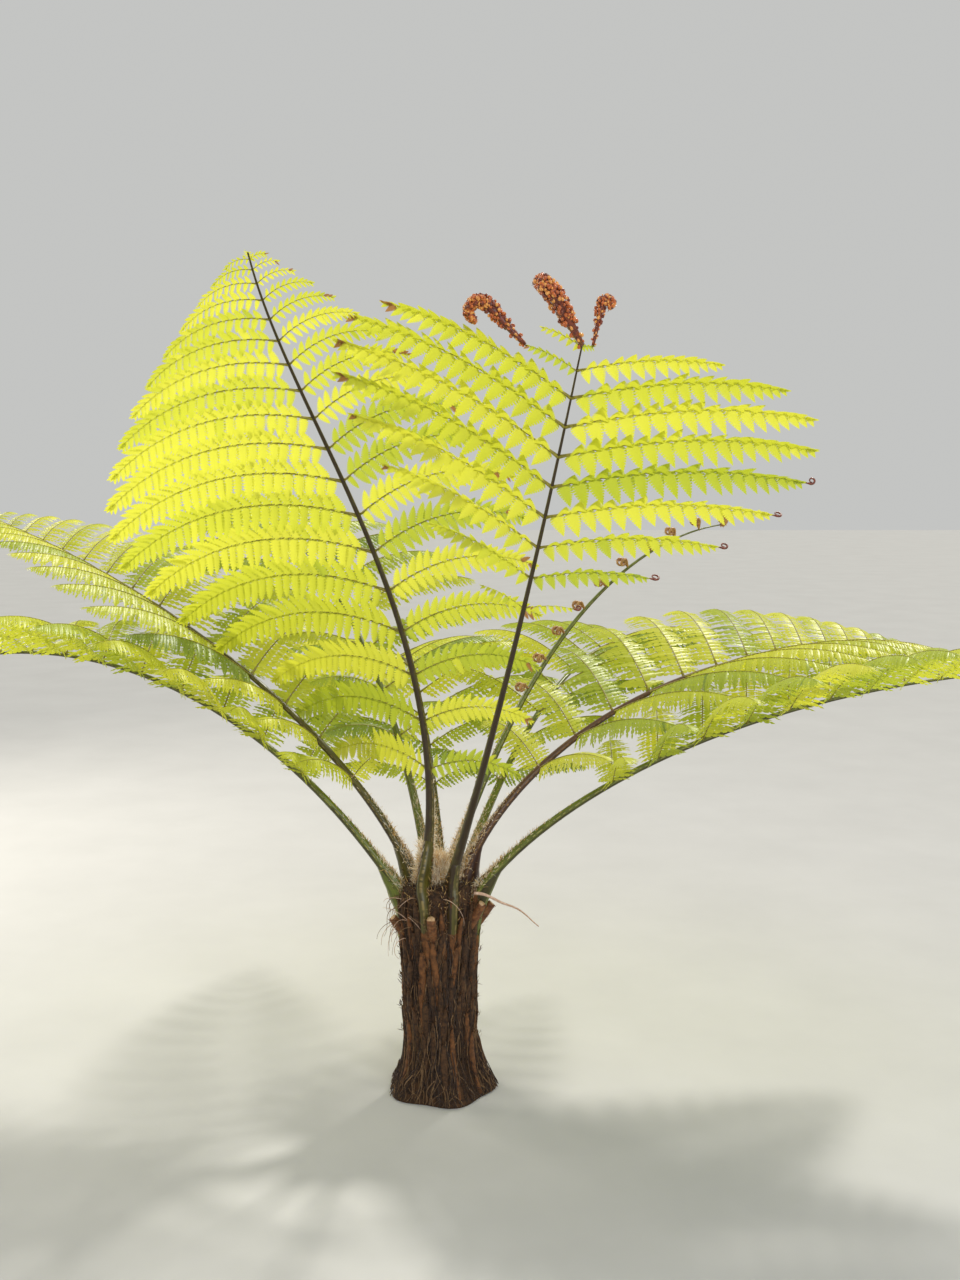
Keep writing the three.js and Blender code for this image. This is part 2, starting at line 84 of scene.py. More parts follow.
# Leaflets
LEAFLET_LEAN = 24
LEAFLET_STEPS = 25
LEAFLET_COIL = [0.006, 0.01]  # the radius of the small coils that end some leaflets
SHORTEST_LEAFLET = 0.034
BLIND_TILT = 12  # a leaflet's tipward edge hangs this much, as on a blind
BLIND_TILT_RISE = 0.12  # and this much more for each degree that the rib climbs
CROWDING = 1.6  # how much closer the leaflets stand towards the frond's tip
LOWEST_SHARE = 0.62  # the lowest leaflet's length, as a share of the longest
WIDEST_AT = 0.3
TAPERING = 1.7
SHORTENED = [1, 0.88, 0.76, 0.64, 0.52]  # shares to which a leaflet without room is cut back
SAME_PLACE = 0.001  # how near a solid's corner a leaflet's tip has to be, to be that leaflet's

# Rolled tips
YOUNG_TIP = {"straight": 0.008, "coil": 0.017, "turns": 1.4, "radius": 0.0065}
ROLLED_RIB = {"straight": 0.122, "coil": 0.03, "turns": 0.6, "radius": 0.02}
ROLLED_RIB_TURN = 0.9  # sideways, for each step along the rib
TIP_LENGTH = 0.15  # the length of rolled tip that its beads and scales are counted for

# Leaflets of the frond at the front right whose ends are still rolled up: which pair counted from the
# lowest, which hand, the share of the length that is open, how steeply the rolled end turns up, and its
# shape
ROLLED_LEAFLETS = [
    {"name": "crozier_left", "pair": 8, "hand": 1, "share": 0.4, "lift": 0.8,
     "shape": {"straight": 0.108, "coil": 0.028, "turns": 0.62, "radius": 0.0155}},
    {"name": "crozier_right", "pair": 9, "hand": -1, "share": 0.25, "lift": 5,
     "shape": {"straight": 0.084, "coil": 0.012, "turns": 0.7, "radius": 0.0105}},
]

# Every frond as its solids have it: heading and its change along the length, pitch at foot and tip, how
# late it bends, length, the bare share, where its foot stands in the crown, the length and number of its
# leaflets, how far they start above the frond's plane, how much they droop, how far that plane is rolled,
# and where it differs from the rest, how its leaflets crowd, lengthen and taper. right is the share of
# their length that the leaflets on a crowded right side reach, and nearer is the hand whose leaflets rise
# and droop by values of their own.
# Then its looks: how far the segments on the tipward and on the footward row fold below the leaflet's
# plane, also on leaflets that point to the back, how they lean at the leaflet's root and tip, how much they
# droop, how far they reach on a leaflet of one metre, how far apart they stand, how wide they are for their
# length, how many lobes each has on a side, how pointed and how whole they are, the share of each leaf
# tint, and the stalk's skin. The tints run from painted sunlight to painted shade, so these shares paint
# each frond's light: the fronds at the front are mostly sunlit, those at the back more of the shaded tints.
# down is the heading where its foot runs down the trunk, if not its own.
# withered is a hand, the share of its leaflets from which segments have dried, and how many of them, and
# coiled is how many of the lowest leaflets on the right end in a small coil.
SIDE_LEAVES = {
    "fold": [14, 18], "fold_behind": [4, 6], "lean": [[14, 54], [10, 52]], "hang": 30, "reach": 0.136,
    "spacing": 0.0104, "slim": 0.108, "lobes": 4,
}
BACK_LEAVES = {
    "fold": [20, 24], "lean": [[16, 56], [14, 54]], "hang": 28, "reach": 0.112, "spacing": 0.0118,
    "slim": 0.13, "lobes": 4,
}
FRONDS = [
    {
        "name": "front_right", "heading": 298, "turn": 0, "pitch": [59.6, 68.8], "bend": 0.785,
        "length": 1.389, "bare": 0.581, "foot": {"heading": 306, "out": 0.041, "up": 0.505},
        "leaflet": 0.52, "pairs": 10, "rise": 8, "droop": 24, "roll": -36, "crowding": 1.15,
        "lowest": 0.2, "widest": 0.55, "tapering": 3,
        "fold": [24, 16], "lean": [[12, 54], [8, 50]], "hang": 30, "reach": 0.1, "spacing": 0.027,
        "slim": 0.34, "lobes": 10, "pointed": 1, "whole": 0.6, "tints": [4, 5, 1, 0], "skin": "brown",
        "withered": [1, 0.93, 0.5], "coiled": 5, "down": 294,
    },
    {
        "name": "front_left", "heading": 208, "turn": 61, "pitch": [103.3, 31.2], "bend": 0.794,
        "length": 1.685, "bare": 0.173, "foot": {"heading": 207, "out": 0.04, "up": 0.509},
        "leaflet": 0.64, "pairs": 19, "rise": 12, "droop": 58, "roll": 25, "widest": 0.45,
        "tapering": 1.4, "right": 0.62,
        "fold": [-24, 20], "lean": [[34, 60], [4, 50]], "hang": 26, "reach": 0.099, "spacing": 0.0215,
        "slim": 0.23, "lobes": 9, "pointed": 0.35, "whole": 0.5, "tints": [6, 4, 0, 0],
        "skin": "brown", "withered": [-1, 0.86, 0.22], "down": 250,
    },
    {
        "name": "left_low", "heading": 167, "turn": -1.4, "pitch": [53.8, -34.2], "bend": 1.314,
        "length": 1.757, "bare": 0.235, "foot": {"heading": 172, "out": 0.07, "up": 0.459},
        "leaflet": 0.45, "pairs": 17, "rise": 26, "droop": 50,
        "nearer": {"hand": -1, "rise": 40, "droop": 50},
        **SIDE_LEAVES, "tints": [4, 5, 2, 0], "skin": "olive",
    },
    {
        "name": "right_low", "heading": 4.5, "turn": -2, "pitch": [70.7, -0.2], "bend": 0.403,
        "length": 1.747, "bare": 0.27, "foot": {"heading": -6, "out": 0.073, "up": 0.455},
        "leaflet": 0.45, "pairs": 17, "rise": 26, "droop": 50,
        "nearer": {"hand": 1, "rise": 40, "droop": 50},
        **SIDE_LEAVES, "tints": [4, 5, 2, 0], "skin": "olive",
    },
    {
        "name": "back_low", "heading": 98, "turn": 3.5, "pitch": [52.2, -29.2], "bend": 1.1,
        "length": 1.585, "bare": 0.203, "foot": {"heading": 82, "out": 0.076, "up": 0.463},
        "leaflet": 0.44, "pairs": 15, "rise": 30, "droop": 54,
        **BACK_LEAVES, "tints": [1, 4, 4, 1], "skin": "brown",
    },
    {
        "name": "back_right", "heading": 62, "turn": 2, "pitch": [48.5, -22.5], "bend": 1.22,
        "length": 1.595, "bare": 0.21, "foot": {"heading": 50, "out": 0.068, "up": 0.479},
        "leaflet": 0.42, "pairs": 15, "rise": 30, "droop": 52,
        **BACK_LEAVES, "tints": [1, 4, 4, 1], "skin": "olive",
    },
    {
        "name": "left_high", "heading": 154, "turn": -5.6, "pitch": [80.4, 13.3], "bend": 0.369,
        "length": 1.788, "bare": 0.18, "foot": {"heading": 150, "out": 0.057, "up": 0.491},
        "leaflet": 0.47, "pairs": 18, "rise": 32, "droop": 54,
        "nearer": {"hand": -1, "rise": 27, "droop": 36},
        **SIDE_LEAVES, "tints": [5, 4, 1, 0], "skin": "brown",
    },
    {
        "name": "right_high", "heading": 25.9, "turn": 1.5, "pitch": [88.6, -13], "bend": 0.435,
        "length": 1.746, "bare": 0.21, "foot": {"heading": 17, "out": 0.057, "up": 0.491},
        "leaflet": 0.47, "pairs": 18, "rise": 34, "droop": 54,
        "nearer": {"hand": 1, "rise": 20, "droop": 36},
        **SIDE_LEAVES, "tints": [5, 4, 1, 0], "skin": "red",
    },
    {
        "name": "back_left", "heading": 122.5, "turn": 0.8, "pitch": [73.2, -0.7], "bend": 1.036,
        "length": 1.611, "bare": 0.237, "foot": {"heading": 112, "out": 0.052, "up": 0.497},
        "leaflet": 0.43, "pairs": 15, "rise": 24, "droop": 50,
        **BACK_LEAVES, "tints": [3, 4, 2, 0], "skin": "olive",
    },
]
FRONT_RIGHT, FRONT_LEFT = FRONDS[:2]

# The young frond, and the pairs of small coils that are its leaflets: their shape, how many pairs, how far up
# the rib the last one stands, how far to the side they lean, and how many fuzz hairs each coil and its rolled
# tip have
YOUNG = {
    "name": "young", "heading": 33.7, "turn": -1.5, "pitch": [65.1, 5], "bend": 1.834, "length": 1.289,
    "bare": 0.406, "foot": {"heading": 30, "out": 0.017, "up": 0.513}, "skin": "olive",
}
YOUNG_COIL = {"straight": 0.025, "coil": 0.0105, "turns": 1.3, "radius": 0.0036}
YOUNG_PAIRS = 9
YOUNG_PAIRS_END = 0.94
YOUNG_COILS_APART = 17
COIL_FUZZ = 70
TIP_FUZZ = 260

# Old stalks, cut short, by heading, height on the trunk, pitch and length
STUBS = [
    {"heading": 10, "up": 0.385, "pitch": 52, "length": 0.092},
    {"heading": 335, "up": 0.405, "pitch": 60, "length": 0.084},
    {"heading": 40, "up": 0.35, "pitch": 48, "length": 0.07},
    {"heading": 190, "up": 0.38, "pitch": 55, "length": 0.066},
    {"heading": 262, "up": 0.392, "pitch": 62, "length": 0.074},
    {"heading": 130, "up": 0.372, "pitch": 50, "length": 0.072},
]
STUB_RADIUS = 0.013

# The crown: the trunk's rounded shoulder as radii at heights from the trunk's top, how far up a stalk its
# clasping foot starts, how far down the trunk it runs, for how many rows it keeps the stalk's skin and how
# many hairs edge it, and the withered stalk that hangs from the crown
SHOULDER = np.array([[-0.04, 0.088], [-0.012, 0.083], [0.005, 0.07], [0.02, 0.052], [0.05, 0.02]])
SHEATH_TOP = 0.07
SHEATH_RUN = 0.2
SHEATH_SKIN_ROWS = 13
SHEATH_HAIRS = 320
WITHERED_STALK = {"start": [0.08, -0.05, 0.506], "end": [0.236, -0.06, 0.43], "sag": 0.014,
                  "radius": 0.0042}

# How far the segments of a leaflet reach along its length, as a share of the longest
REACH_OUTLINE = np.array([
    [0, 0.7], [0.1, 0.92], [0.3, 1], [0.6, 0.95], [0.8, 0.76], [0.92, 0.5], [1, 0.2],
])
REACH_POWER = 0.7
SHORTEST_SEGMENT = 0.012

# Where the rows of segments start and end on a leaflet, as shares of it, how much closer they stand towards
# its tip, how far the two rows are offset, in segments, and how unevenly they grow, in degrees
SEGMENTS_START = 0.03
SEGMENTS_END = 0.985
SEGMENT_CROWDING = 1.25
ROW_OFFSET = 0.22
UNEVEN = {"fold": 3.5, "lean": 2.5, "twist": 7, "hang": 5}

# A leaf segment's half width along its length, as a share of its widest: for a blunt and for a pointed one
BLUNT_OUTLINE = np.array([[0, 0.42], [0.08, 0.92], [0.3, 1], [0.62, 0.86], [0.86, 0.5], [1, 0]])
POINTED_OUTLINE = np.array([[0, 0.62], [0.06, 1], [0.25, 0.94], [0.5, 0.7], [0.75, 0.38], [1, 0]])
# How near its middle the slits between its lobes end, of its half width, and where each lobe's edge begins
# and ends: for a segment that is cut deep and for one that is nearly whole
LOBES = np.array([[0.4, 0.36, 0.82], [0.66, 0.2, 0.92]])

# The trunk's dressing: its core lies under the skin of the solid, with a slight relief. Old stalk bases
# start at a height and have a run and a radius, and roots have a run
CORE_DEPTH = 0.006
CORE_RELIEF = 0.0012
LOWEST_BASE = 0.13
BASE_RUN = [0.12, 0.2]
BASE_RADIUS = [0.0075, 0.0115]
ROOT_RUN = [0.05, 0.19]

# Kinds of hairs, fibres and scales: the least and the most of their length, their width and their curl,
# which is in radians
BASE_TUFT = [[0.008, 0.02], [0.0008, 0.0018], [0.1, 0.9]]
FOOT_EDGE_HAIR = [[0.006, 0.018], [0.0006, 0.0014], [0.2, 1.2]]
CROWN_FIBRE = [[0.01, 0.026], [0.0008, 0.0018], [0.1, 1.2]]
OLD_STALK_FIBRE = [[0.006, 0.018], [0.0006, 0.0012], [0.2, 1]]
BUD_WOOL = [[0.012, 0.032], [0.0008, 0.0018], [0.2, 0.9]]
FLEECE = [[0.012, 0.03], [0.0008, 0.0018], [0.2, 1]]
STALK_HAIR = [[0.008, 0.024], [0.0006, 0.0014], [0.2, 1.2]]
RUST_SCALE = [[0.004, 0.009], [0.001, 0.002], [0.2, 1]]
YOUNG_FUZZ = [[0.003, 0.007], [0.0005, 0.001], [0.2, 1.2]]


# Small sums

def rad(degrees):
    return math.radians(degrees)


def mix(a, b, share):
    return a + (b - a) * share


def unit(v):
    return v / np.maximum(np.linalg.norm(v, axis=-1, keepdims=True), 1e-12)


def square_to(v, other):
    """The part of v that is square to other, at length 1."""
    return unit(v - other * np.sum(v * other, axis=-1, keepdims=True))


def turned(v, axis, angle):
    """v turned about an axis of length 1. angle is in radians."""
    c, s = np.cos(angle), np.sin(angle)
    along = np.sum(v * axis, axis=-1, keepdims=True)
    return v * c + np.cross(axis, v) * s + axis * along * (1 - c)


def direction(heading, pitch):
    """Directions of length 1 from angles in radians."""
    level = np.cos(pitch)
    return np.stack([np.cos(heading) * level, np.sin(heading) * level, np.sin(pitch)], axis=-1)


def sampled(table, share):
    """Rows between the evenly spaced rows of a table, at shares from 0 to 1."""
    x = np.clip(np.asarray(share, float), 0, 1) * (len(table) - 1)
    i = np.minimum(x.astype(int), len(table) - 2)
    k = (x - i)[..., None]
    return table[i] * (1 - k) + table[i + 1] * k


def at_row(table, row):
    """Rows between a table's rows, at row numbers that need not be whole."""
    return sampled(table, row / (len(table) - 1))


def round_angles(count):
    """Angles in radians, evenly spaced around a limb."""
    return np.arange(count) / count * 2 * math.pi


def spokes(side, up, angle):
    """Directions away from a limb's middle, at angles from its side towards its upper side."""
    return side * np.cos(angle)[:, None] + up * np.sin(angle)[:, None]


def strewn(way, spread, count, rng):
    """Directions of length 1 that stray from the given ones."""
    return unit(way + rng.normal(0, spread, (count, 3)))


def walked_along(points):
    """How far it is along a line to each of its points."""
    return np.concatenate([[0], np.cumsum(np.linalg.norm(np.diff(points, axis=0), axis=1))])


# The growth rule

def trunk_radius(height):
    waist = mix(TRUNK_WAIST_RADIUS, TRUNK_TOP_RADIUS, np.clip(height / TRUNK_HEIGHT, 0, 1) ** 2)
    flare = np.maximum(0, 1 - height / FLARE_HEIGHT) ** 2
    return waist + (TRUNK_FOOT_RADIUS - TRUNK_WAIST_RADIUS) * flare


def trunk_middle(height):
    height = np.asarray(height, float)[..., None]
    return TRUNK_LEAN * height / TRUNK_HEIGHT + UP * height


def trunk_skin(angle, height):
    """Points of the trunk's skin, without its relief, and the directions away from its middle there. Angles
    are in radians."""
    lobes = np.cos(FLARE_LOBES * angle) * np.maximum(0, 1 - height / FLARE_HEIGHT)
    radius = trunk_radius(height) + FLARE_LOBE_DEPTH * lobes
    crown = np.clip((TRUNK_HEIGHT - height) / 0.03, 0, 1)
    radius = radius * mix(0.88, 1, crown**0.5)
    outward = direction(angle, 0 * angle)
    return trunk_middle(height) + outward * radius[..., None], outward


def rib_line(frond):
    """A frond's rib as three tables: points, directions of travel and level sides."""
    share = np.arange(PATH_STEPS + 1) / PATH_STEPS
    middle = share[:-1] + 0.5 / PATH_STEPS

    def heading(s):
        return np.radians(frond["heading"] + frond["turn"] * s**1.5)

    def pitch(s):
        return np.radians(mix(*frond["pitch"], s ** frond["bend"]))

    foot = frond["foot"]
    start = trunk_middle(foot["up"]) + direction(rad(foot["heading"]), 0.0) * foot["out"]
    steps = direction(heading(middle), pitch(middle)) * frond["length"] / PATH_STEPS
    points = start + np.vstack([np.zeros(3), np.cumsum(steps, axis=0)])
    side = np.stack([np.sin(heading(share)), -np.cos(heading(share)), 0 * share], axis=-1)
    return points, direction(heading(share), pitch(share)), side


def along_rib(line, share):
    points, travel, side = line
    return sampled(points, share), unit(sampled(travel, share)), unit(sampled(side, share))


def rib_radius(share):
    swell = (FOOT_RADIUS - STALK_RADIUS) * np.exp(-share / FOOT_SWELL)
    return mix(STALK_RADIUS, TIP_RADIUS, share**0.8) + swell


def leaflet_length(frond, station):
    """The full length of the leaflets at a place on the frond's rib."""
    share = (station - frond["bare"]) / (1 - frond["bare"])
    widest = frond.get("widest", WIDEST_AT)
    lowest = frond.get("lowest", LOWEST_SHARE)
    grow = mix(lowest, 1, math.sin(min(1, share / widest) * math.pi / 2))
    past = max(0, share - widest) / (1 - widest + 0.02)
    return frond["leaflet"] * grow * max(0, 1 - past ** frond.get("tapering", TAPERING))


def leaflet_stations(frond):
    """Where the leaflets stand, as shares of the frond's rib."""
    i = np.arange(frond["pairs"])
    share = 1 - (1 - 0.985 * i / (frond["pairs"] - 1)) ** frond.get("crowding", CROWDING)
    return mix(frond["bare"], 1, share)


def leaflet_line(frond, at, hand, length):
    """A leaflet's own rib: its points, its directions, and which way is up for it."""
    point, travel, side = at
    own = frond["nearer"] if frond.get("nearer", {}).get("hand") == hand else frond
    side = turned(side, travel, rad(frond.get("roll", 0)))
    up = np.cross(side, travel)
    lean = rad(LEAFLET_LEAN)
    start = side * math.cos(lean) * hand + travel * math.sin(lean) + up * math.tan(rad(own["rise"]))
    start = unit(start)
    heading = math.atan2(start[1], start[0])

    def pitch(s):
        return math.asin(start[2]) - rad(own["droop"]) * s**1.2

    share = np.arange(LEAFLET_STEPS + 1) / LEAFLET_STEPS
    middle = share[:-1] + 0.5 / LEAFLET_STEPS
    steps = direction(heading, pitch(middle)) * length / LEAFLET_STEPS
    points = point + np.vstack([np.zeros(3), np.cumsum(steps, axis=0)])
    return points, direction(heading + 0 * share, pitch(share)), up


def solid_corners(*names):
    """The corners of CAD nodes, as one table."""
    tables = []
    for name in names:
        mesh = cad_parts[name].data
        flat = np.empty(len(mesh.vertices) * 3)
        mesh.vertices.foreach_get("co", flat)
        tables.append(flat.reshape(-1, 3))
    return np.concatenate(tables)


def frond_nodes(frond):
    return f"frond_{frond['name']}_inner", f"frond_{frond['name']}_outer"


def open_share(frond, pair, hand):
    """How much of a leaflet's full length is open: less where its end is rolled up, or where the frond has
    less room on its right."""
    for rolled in ROLLED_LEAFLETS if frond is FRONT_RIGHT else ():
        if (rolled["pair"], rolled["hand"]) == (pair, hand):
            return rolled["share"]
    return frond.get("right", 1) if hand < 0 else 1


def leaflets_of(frond):
    """Every leaflet that the frond's solids have: where it stands, its hand, its length and its line."""
    line = rib_line(frond)
    corners = solid_corners(*frond_nodes(frond))
    found = []
    for pair, station in enumerate(leaflet_stations(frond)):
        full = leaflet_length(frond, station)
        at = along_rib(line, station)
        for hand in (1, -1) if full >= SHORTEST_LEAFLET else ():
            for share in SHORTENED:
                length = full * open_share(frond, pair, hand) * share
                points, travel, up = leaflet_line(frond, at, hand, length)
                if np.linalg.norm(corners - points[-1], axis=1).min() < SAME_PLACE:
                    found.append({
                        "at": at, "hand": hand, "length": length, "points": points, "travel": travel,
                        "up": up, "pair": pair,
                    })
                    break
    return line, found


# Meshes

def new_object(name, data):
    """An object with this data, put into the scene."""
    made = bpy.data.objects.new(name, data)
    bpy.context.scene.collection.objects.link(made)
    return made


class Heap:
    """Points and triangles gathered from many small shapes, which become one mesh."""

    def __init__(self):
        self.points, self.faces, self.slots, self.uvs, self.count = [], [], [], [], 0

    def add(self, points, faces, slot=0, uv=None):
        points = np.asarray(points, float).reshape(-1, 3)
        faces = np.asarray(faces, int).reshape(-1, 3)
        self.points.append(points)
        self.faces.append(faces + self.count)
        self.slots.append(np.broadcast_to(slot, len(faces)))
        self.uvs.append(np.zeros((len(points), 2)) if uv is None else np.asarray(uv).reshape(-1, 2))
        self.count += len(points)

    def piece(self, name, materials, slot, replaced=()):
        """The gathered mesh as one object that rides on the plant."""
        points = np.concatenate(self.points)
        points[:, 2] = np.maximum(points[:, 2], 0)
        faces = np.concatenate(self.faces)
        mesh = bpy.data.meshes.new(name)
        mesh.vertices.add(len(points))
        mesh.vertices.foreach_set("co", points.ravel())
        mesh.loops.add(faces.size)
        mesh.loops.foreach_set("vertex_index", faces.ravel())
        mesh.polygons.add(len(faces))
        mesh.polygons.foreach_set("loop_start", np.arange(0, faces.size, 3))
        mesh.polygons.foreach_set("material_index", np.concatenate(self.slots).astype(int))
        mesh.polygons.foreach_set("use_smooth", np.full(len(faces), True))
        layer = mesh.uv_layers.new(name="Length and round")
        layer.data.foreach_set("uv", np.concatenate(self.uvs)[faces.ravel()].ravel())
        mesh.update(calc_edges=True)
        mesh.validate()
        for material in materials:
            mesh.materials.append(material)
        obj = new_object(name, mesh)
        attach(obj, BODY)
        if replaced:
            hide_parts(*replaced)
        return obj


def tube_faces(rows, sides):
    """Triangles of a tube whose last row and first row are closed by a middle point each."""
    row, side = np.meshgrid(np.arange(rows - 1), np.arange(sides), indexing="ij")
    a = row * sides + side
    b = row * sides + (side + 1) % sides
    quads = np.stack([a, b, b + sides, a, b + sides, a + sides], axis=-1).reshape(-1, 3)
    ring = np.arange(sides)
    after = (ring + 1) % sides
    first, last = rows * sides, rows * sides + 1
    end = (rows - 1) * sides
    start_cap = np.stack([np.full(sides, first), after, ring], axis=-1)
    end_cap = np.stack([np.full(sides, last), end + ring, end + after], axis=-1)
    return np.concatenate([quads, start_cap, end_cap])


def copies(faces, count, corners):
    """The triangles of count copies of a shape, each with its own run of corners."""
    return (np.arange(count)[:, None, None] * corners + faces).reshape(-1, 3)


def tube(points, side, up, radius, sides):
    """A round limb along points. radius is one number for each point, or a table by point and side.
    Its uv runs in metres along the limb and from 0 to 1 around it, from the side vector over the top."""
    rows = len(points)
    angle = round_angles(sides)
    radius = np.broadcast_to(np.asarray(radius, float).reshape(rows, -1), (rows, sides))
    spoke = side[:, None] * np.cos(angle)[None, :, None] + up[:, None] * np.sin(angle)[None, :, None]
    skin = points[:, None] + spoke * radius[..., None]
    u, v = np.broadcast_arrays(walked_along(points)[:, None], angle / (2 * math.pi))
    uv = np.stack([u, v], axis=-1).reshape(-1, 2)
    whole = np.vstack([skin.reshape(-1, 3), points[0], points[-1]])
    return whole, tube_faces(rows, sides), np.vstack([uv, [[0, 0.25], [u[-1, 0], 0.25]]])


def carried_frame(points, hint):
    """Sides and ups along any line of points, turned as little as possible from row to row."""
    travel = unit(np.gradient(points, axis=0))
    side = np.empty_like(points)
    side[0] = square_to(hint, travel[0])
    for i in range(1, len(points)):
        side[i] = square_to(side[i - 1], travel[i])
    return side, np.cross(side, travel)


def add_tube(heap, points, hint, radius, sides, slot=0):
    side, up = carried_frame(points, hint)
    whole, faces, uv = tube(points, side, up, radius, sides)
    heap.add(whole, faces, slot, uv)


def drawn(kind, count, rng):
    """Lengths, widths and curls of one kind of hairs."""
    return [rng.uniform(least, most, count) for least, most in kind]


def add_blades(heap, base, out, sizes, slot, rng):
    """Hairs or thin scales: each is a bent blade of three triangles, from a base in a direction. sizes are
    their lengths, widths and curls."""
    length, width, curl = sizes
    count = len(base)
    across = square_to(rng.normal(size=(count, 3)), out)
    down = np.cross(out, across) * rng.choice([-1, 1], (count, 1))
    share = np.array([0, 0.55, 1])
    bend = (curl[:, None] * share)[..., None]
    reach = length[:, None, None] * share[None, :, None]
    middle = base[:, None] + reach * (out[:, None] * np.cos(bend) + down[:, None] * np.sin(bend))
    half = (width[:, None] * np.array([0.6, 0.5, 0]))[..., None] * across[:, None]
    left, right = middle - half, middle + half
    points = np.stack([left[:, 0], right[:, 0], left[:, 1], right[:, 1], middle[:, 2]], axis=1)
    faces = copies([[0, 1, 3], [0, 3, 2], [2, 3, 4]], count, 5)
    heap.add(points, faces, np.repeat(slot, 3) if np.ndim(slot) else slot)


def add_beads(heap, middle, radius, slot):
    """Small round buds of young leaf tissue."""
    rise = np.array([-0.5, 0, 0.5]) * math.pi * 0.62
    ball = np.vstack([direction(np.tile(round_angles(6), 3), np.repeat(rise, 6)), -UP, UP])
    points = middle[:, None] + ball * radius[:, None, None]
    faces = tube_faces(3, 6)
    heap.add(points, copies(faces, len(middle), len(ball)), np.repeat(slot, len(faces)))


def segment_template(lobes, pointed, whole):
    """A lobed leaf segment, flat: shares along it, sides from -1 to 1, and its triangles. Each lobe leans
    towards the segment's tip, with a narrow slit behind it, and the last ends in the tip."""
    root, begin, end = mix(*LOBES, whole)
    station = np.linspace(0, 1, lobes + 1) ** 0.94
    along, across, faces = [], [], []

    def corner(s, v):
        along.append(s)
        across.append(v)
        return len(along) - 1

    middle = [corner(s, 0) for s in station]
    for hand in (-1, 1):
        slit = [corner(s, hand * (root if i else 1)) for i, s in enumerate(station[:-1])]
        slit.append(middle[-1])
        for i in range(lobes):
            near = corner(mix(station[i], station[i + 1], begin), hand)
            far = corner(mix(station[i], station[i + 1], end), hand)
            fan = [slit[i], near, far, middle[i + 1]]
            triangles = [(middle[i], *edge) for edge in zip(fan, fan[1:])]
            if i < lobes - 1:
                triangles.append((middle[i + 1], far, slit[i + 1]))
            faces += [t if hand < 0 else t[::-1] for t in triangles]
    along = np.array(along)
    outline = mix(np.interp(along, *BLUNT_OUTLINE.T), np.interp(along, *POINTED_OUTLINE.T), pointed)
    return along, np.array(across) * outline, np.array(faces)


def add_segments(heap, template, base, out, normal, length, half_width, hang, slot):
    """Toothed segments in one go. out is each one's direction and normal its upper side."""
    along, across, faces = template
    side = np.cross(normal, out)
    sag = -normal * np.clip(normal[:, 2:] / 0.3, -1, 1)
    bend = np.maximum(hang, 1e-3)[:, None]
    forth = np.sin(bend * along) / bend * length[:, None]
    down = (1 - np.cos(bend * along)) / bend * length[:, None]
    wide = half_width[:, None] * across
    drop = np.abs(wide) * 0.36
    points = (
        base[:, None] + out[:, None] * forth[..., None] + sag[:, None] * down[..., None]
        + side[:, None] * wide[..., None] - normal[:, None] * drop[..., None]
    )
    heap.add(points, copies(faces, len(base), len(along)), np.repeat(slot, len(faces)))


# Materials

def linear(colour):
    """A colour's linear values from its sRGB hex value."""
    parts = [int(colour[i : i + 2], 16) / 255 for i in (1, 3, 5)]
    return [c / 12.92 if c <= 0.04045 else ((c + 0.055) / 1.055) ** 2.4 for c in parts]


def rgba(colour):
    return (*(linear(colour) if isinstance(colour, str) else colour), 1.0)


def per_mm(size):
    """The scale of a pattern in object coordinates whose features are size millimetres."""
    return 1000 / size


def add_node(tree, kind, inputs=None, **settings):
    """Adds one node. inputs gives each socket a value, or the node or output that feeds it."""
    made = tree.nodes.new(kind)
    for name, value in settings.items():
        setattr(made, name, value)
    for socket, value in (inputs or {}).items():
        if isinstance(value, bpy.types.Node):
            value = next(output for output in value.outputs if output.enabled)
        if isinstance(value, bpy.types.NodeSocket):
            tree.links.new(value, made.inputs[socket])
        else:
            made.inputs[socket].default_value = value
    return made


def new_material(name):
    material = bpy.data.materials.new(name)
    material.use_nodes = True
    tree = material.node_tree
    tree.nodes.clear()
    return material, tree


def finish(tree, shader):
    add_node(tree, "ShaderNodeOutputMaterial", {"Surface": shader})


def leaf_tissue(name, face, through, rough=0.36):
    """Living fern leaf, a thin waxy skin over soft tissue: it has a satin gloss, lets nearly half of
    the light through yellower than it sends back, and is finely puckered between its veins."""
    material, tree = new_material(name)
    spot = add_node(tree, "ShaderNodeTexCoord")
    pucker = add_node(tree, "ShaderNodeTexNoise",
                      {"Vector": spot.outputs["Object"], "Scale": per_mm(3), "Detail": 3.0})
    gloss = add_node(tree, "ShaderNodeMapRange",
                     {"Value": pucker, "To Min": rough - 0.06, "To Max": rough + 0.14})
    bump = add_node(tree, "ShaderNodeBump", {"Height": pucker, "Strength": 0.35, "Distance": 0.0006})
    skin = add_node(tree, "ShaderNodeBsdfPrincipled",
                    {"Base Color": rgba(face), "Roughness": gloss, "IOR": 1.55, "Normal": bump})
    glow = add_node(tree, "ShaderNodeBsdfTranslucent", {"Color": rgba(through), "Normal": bump})
    finish(tree, add_node(tree, "ShaderNodeMixShader", {0: 0.46, 1: skin, 2: glow}))
    return material
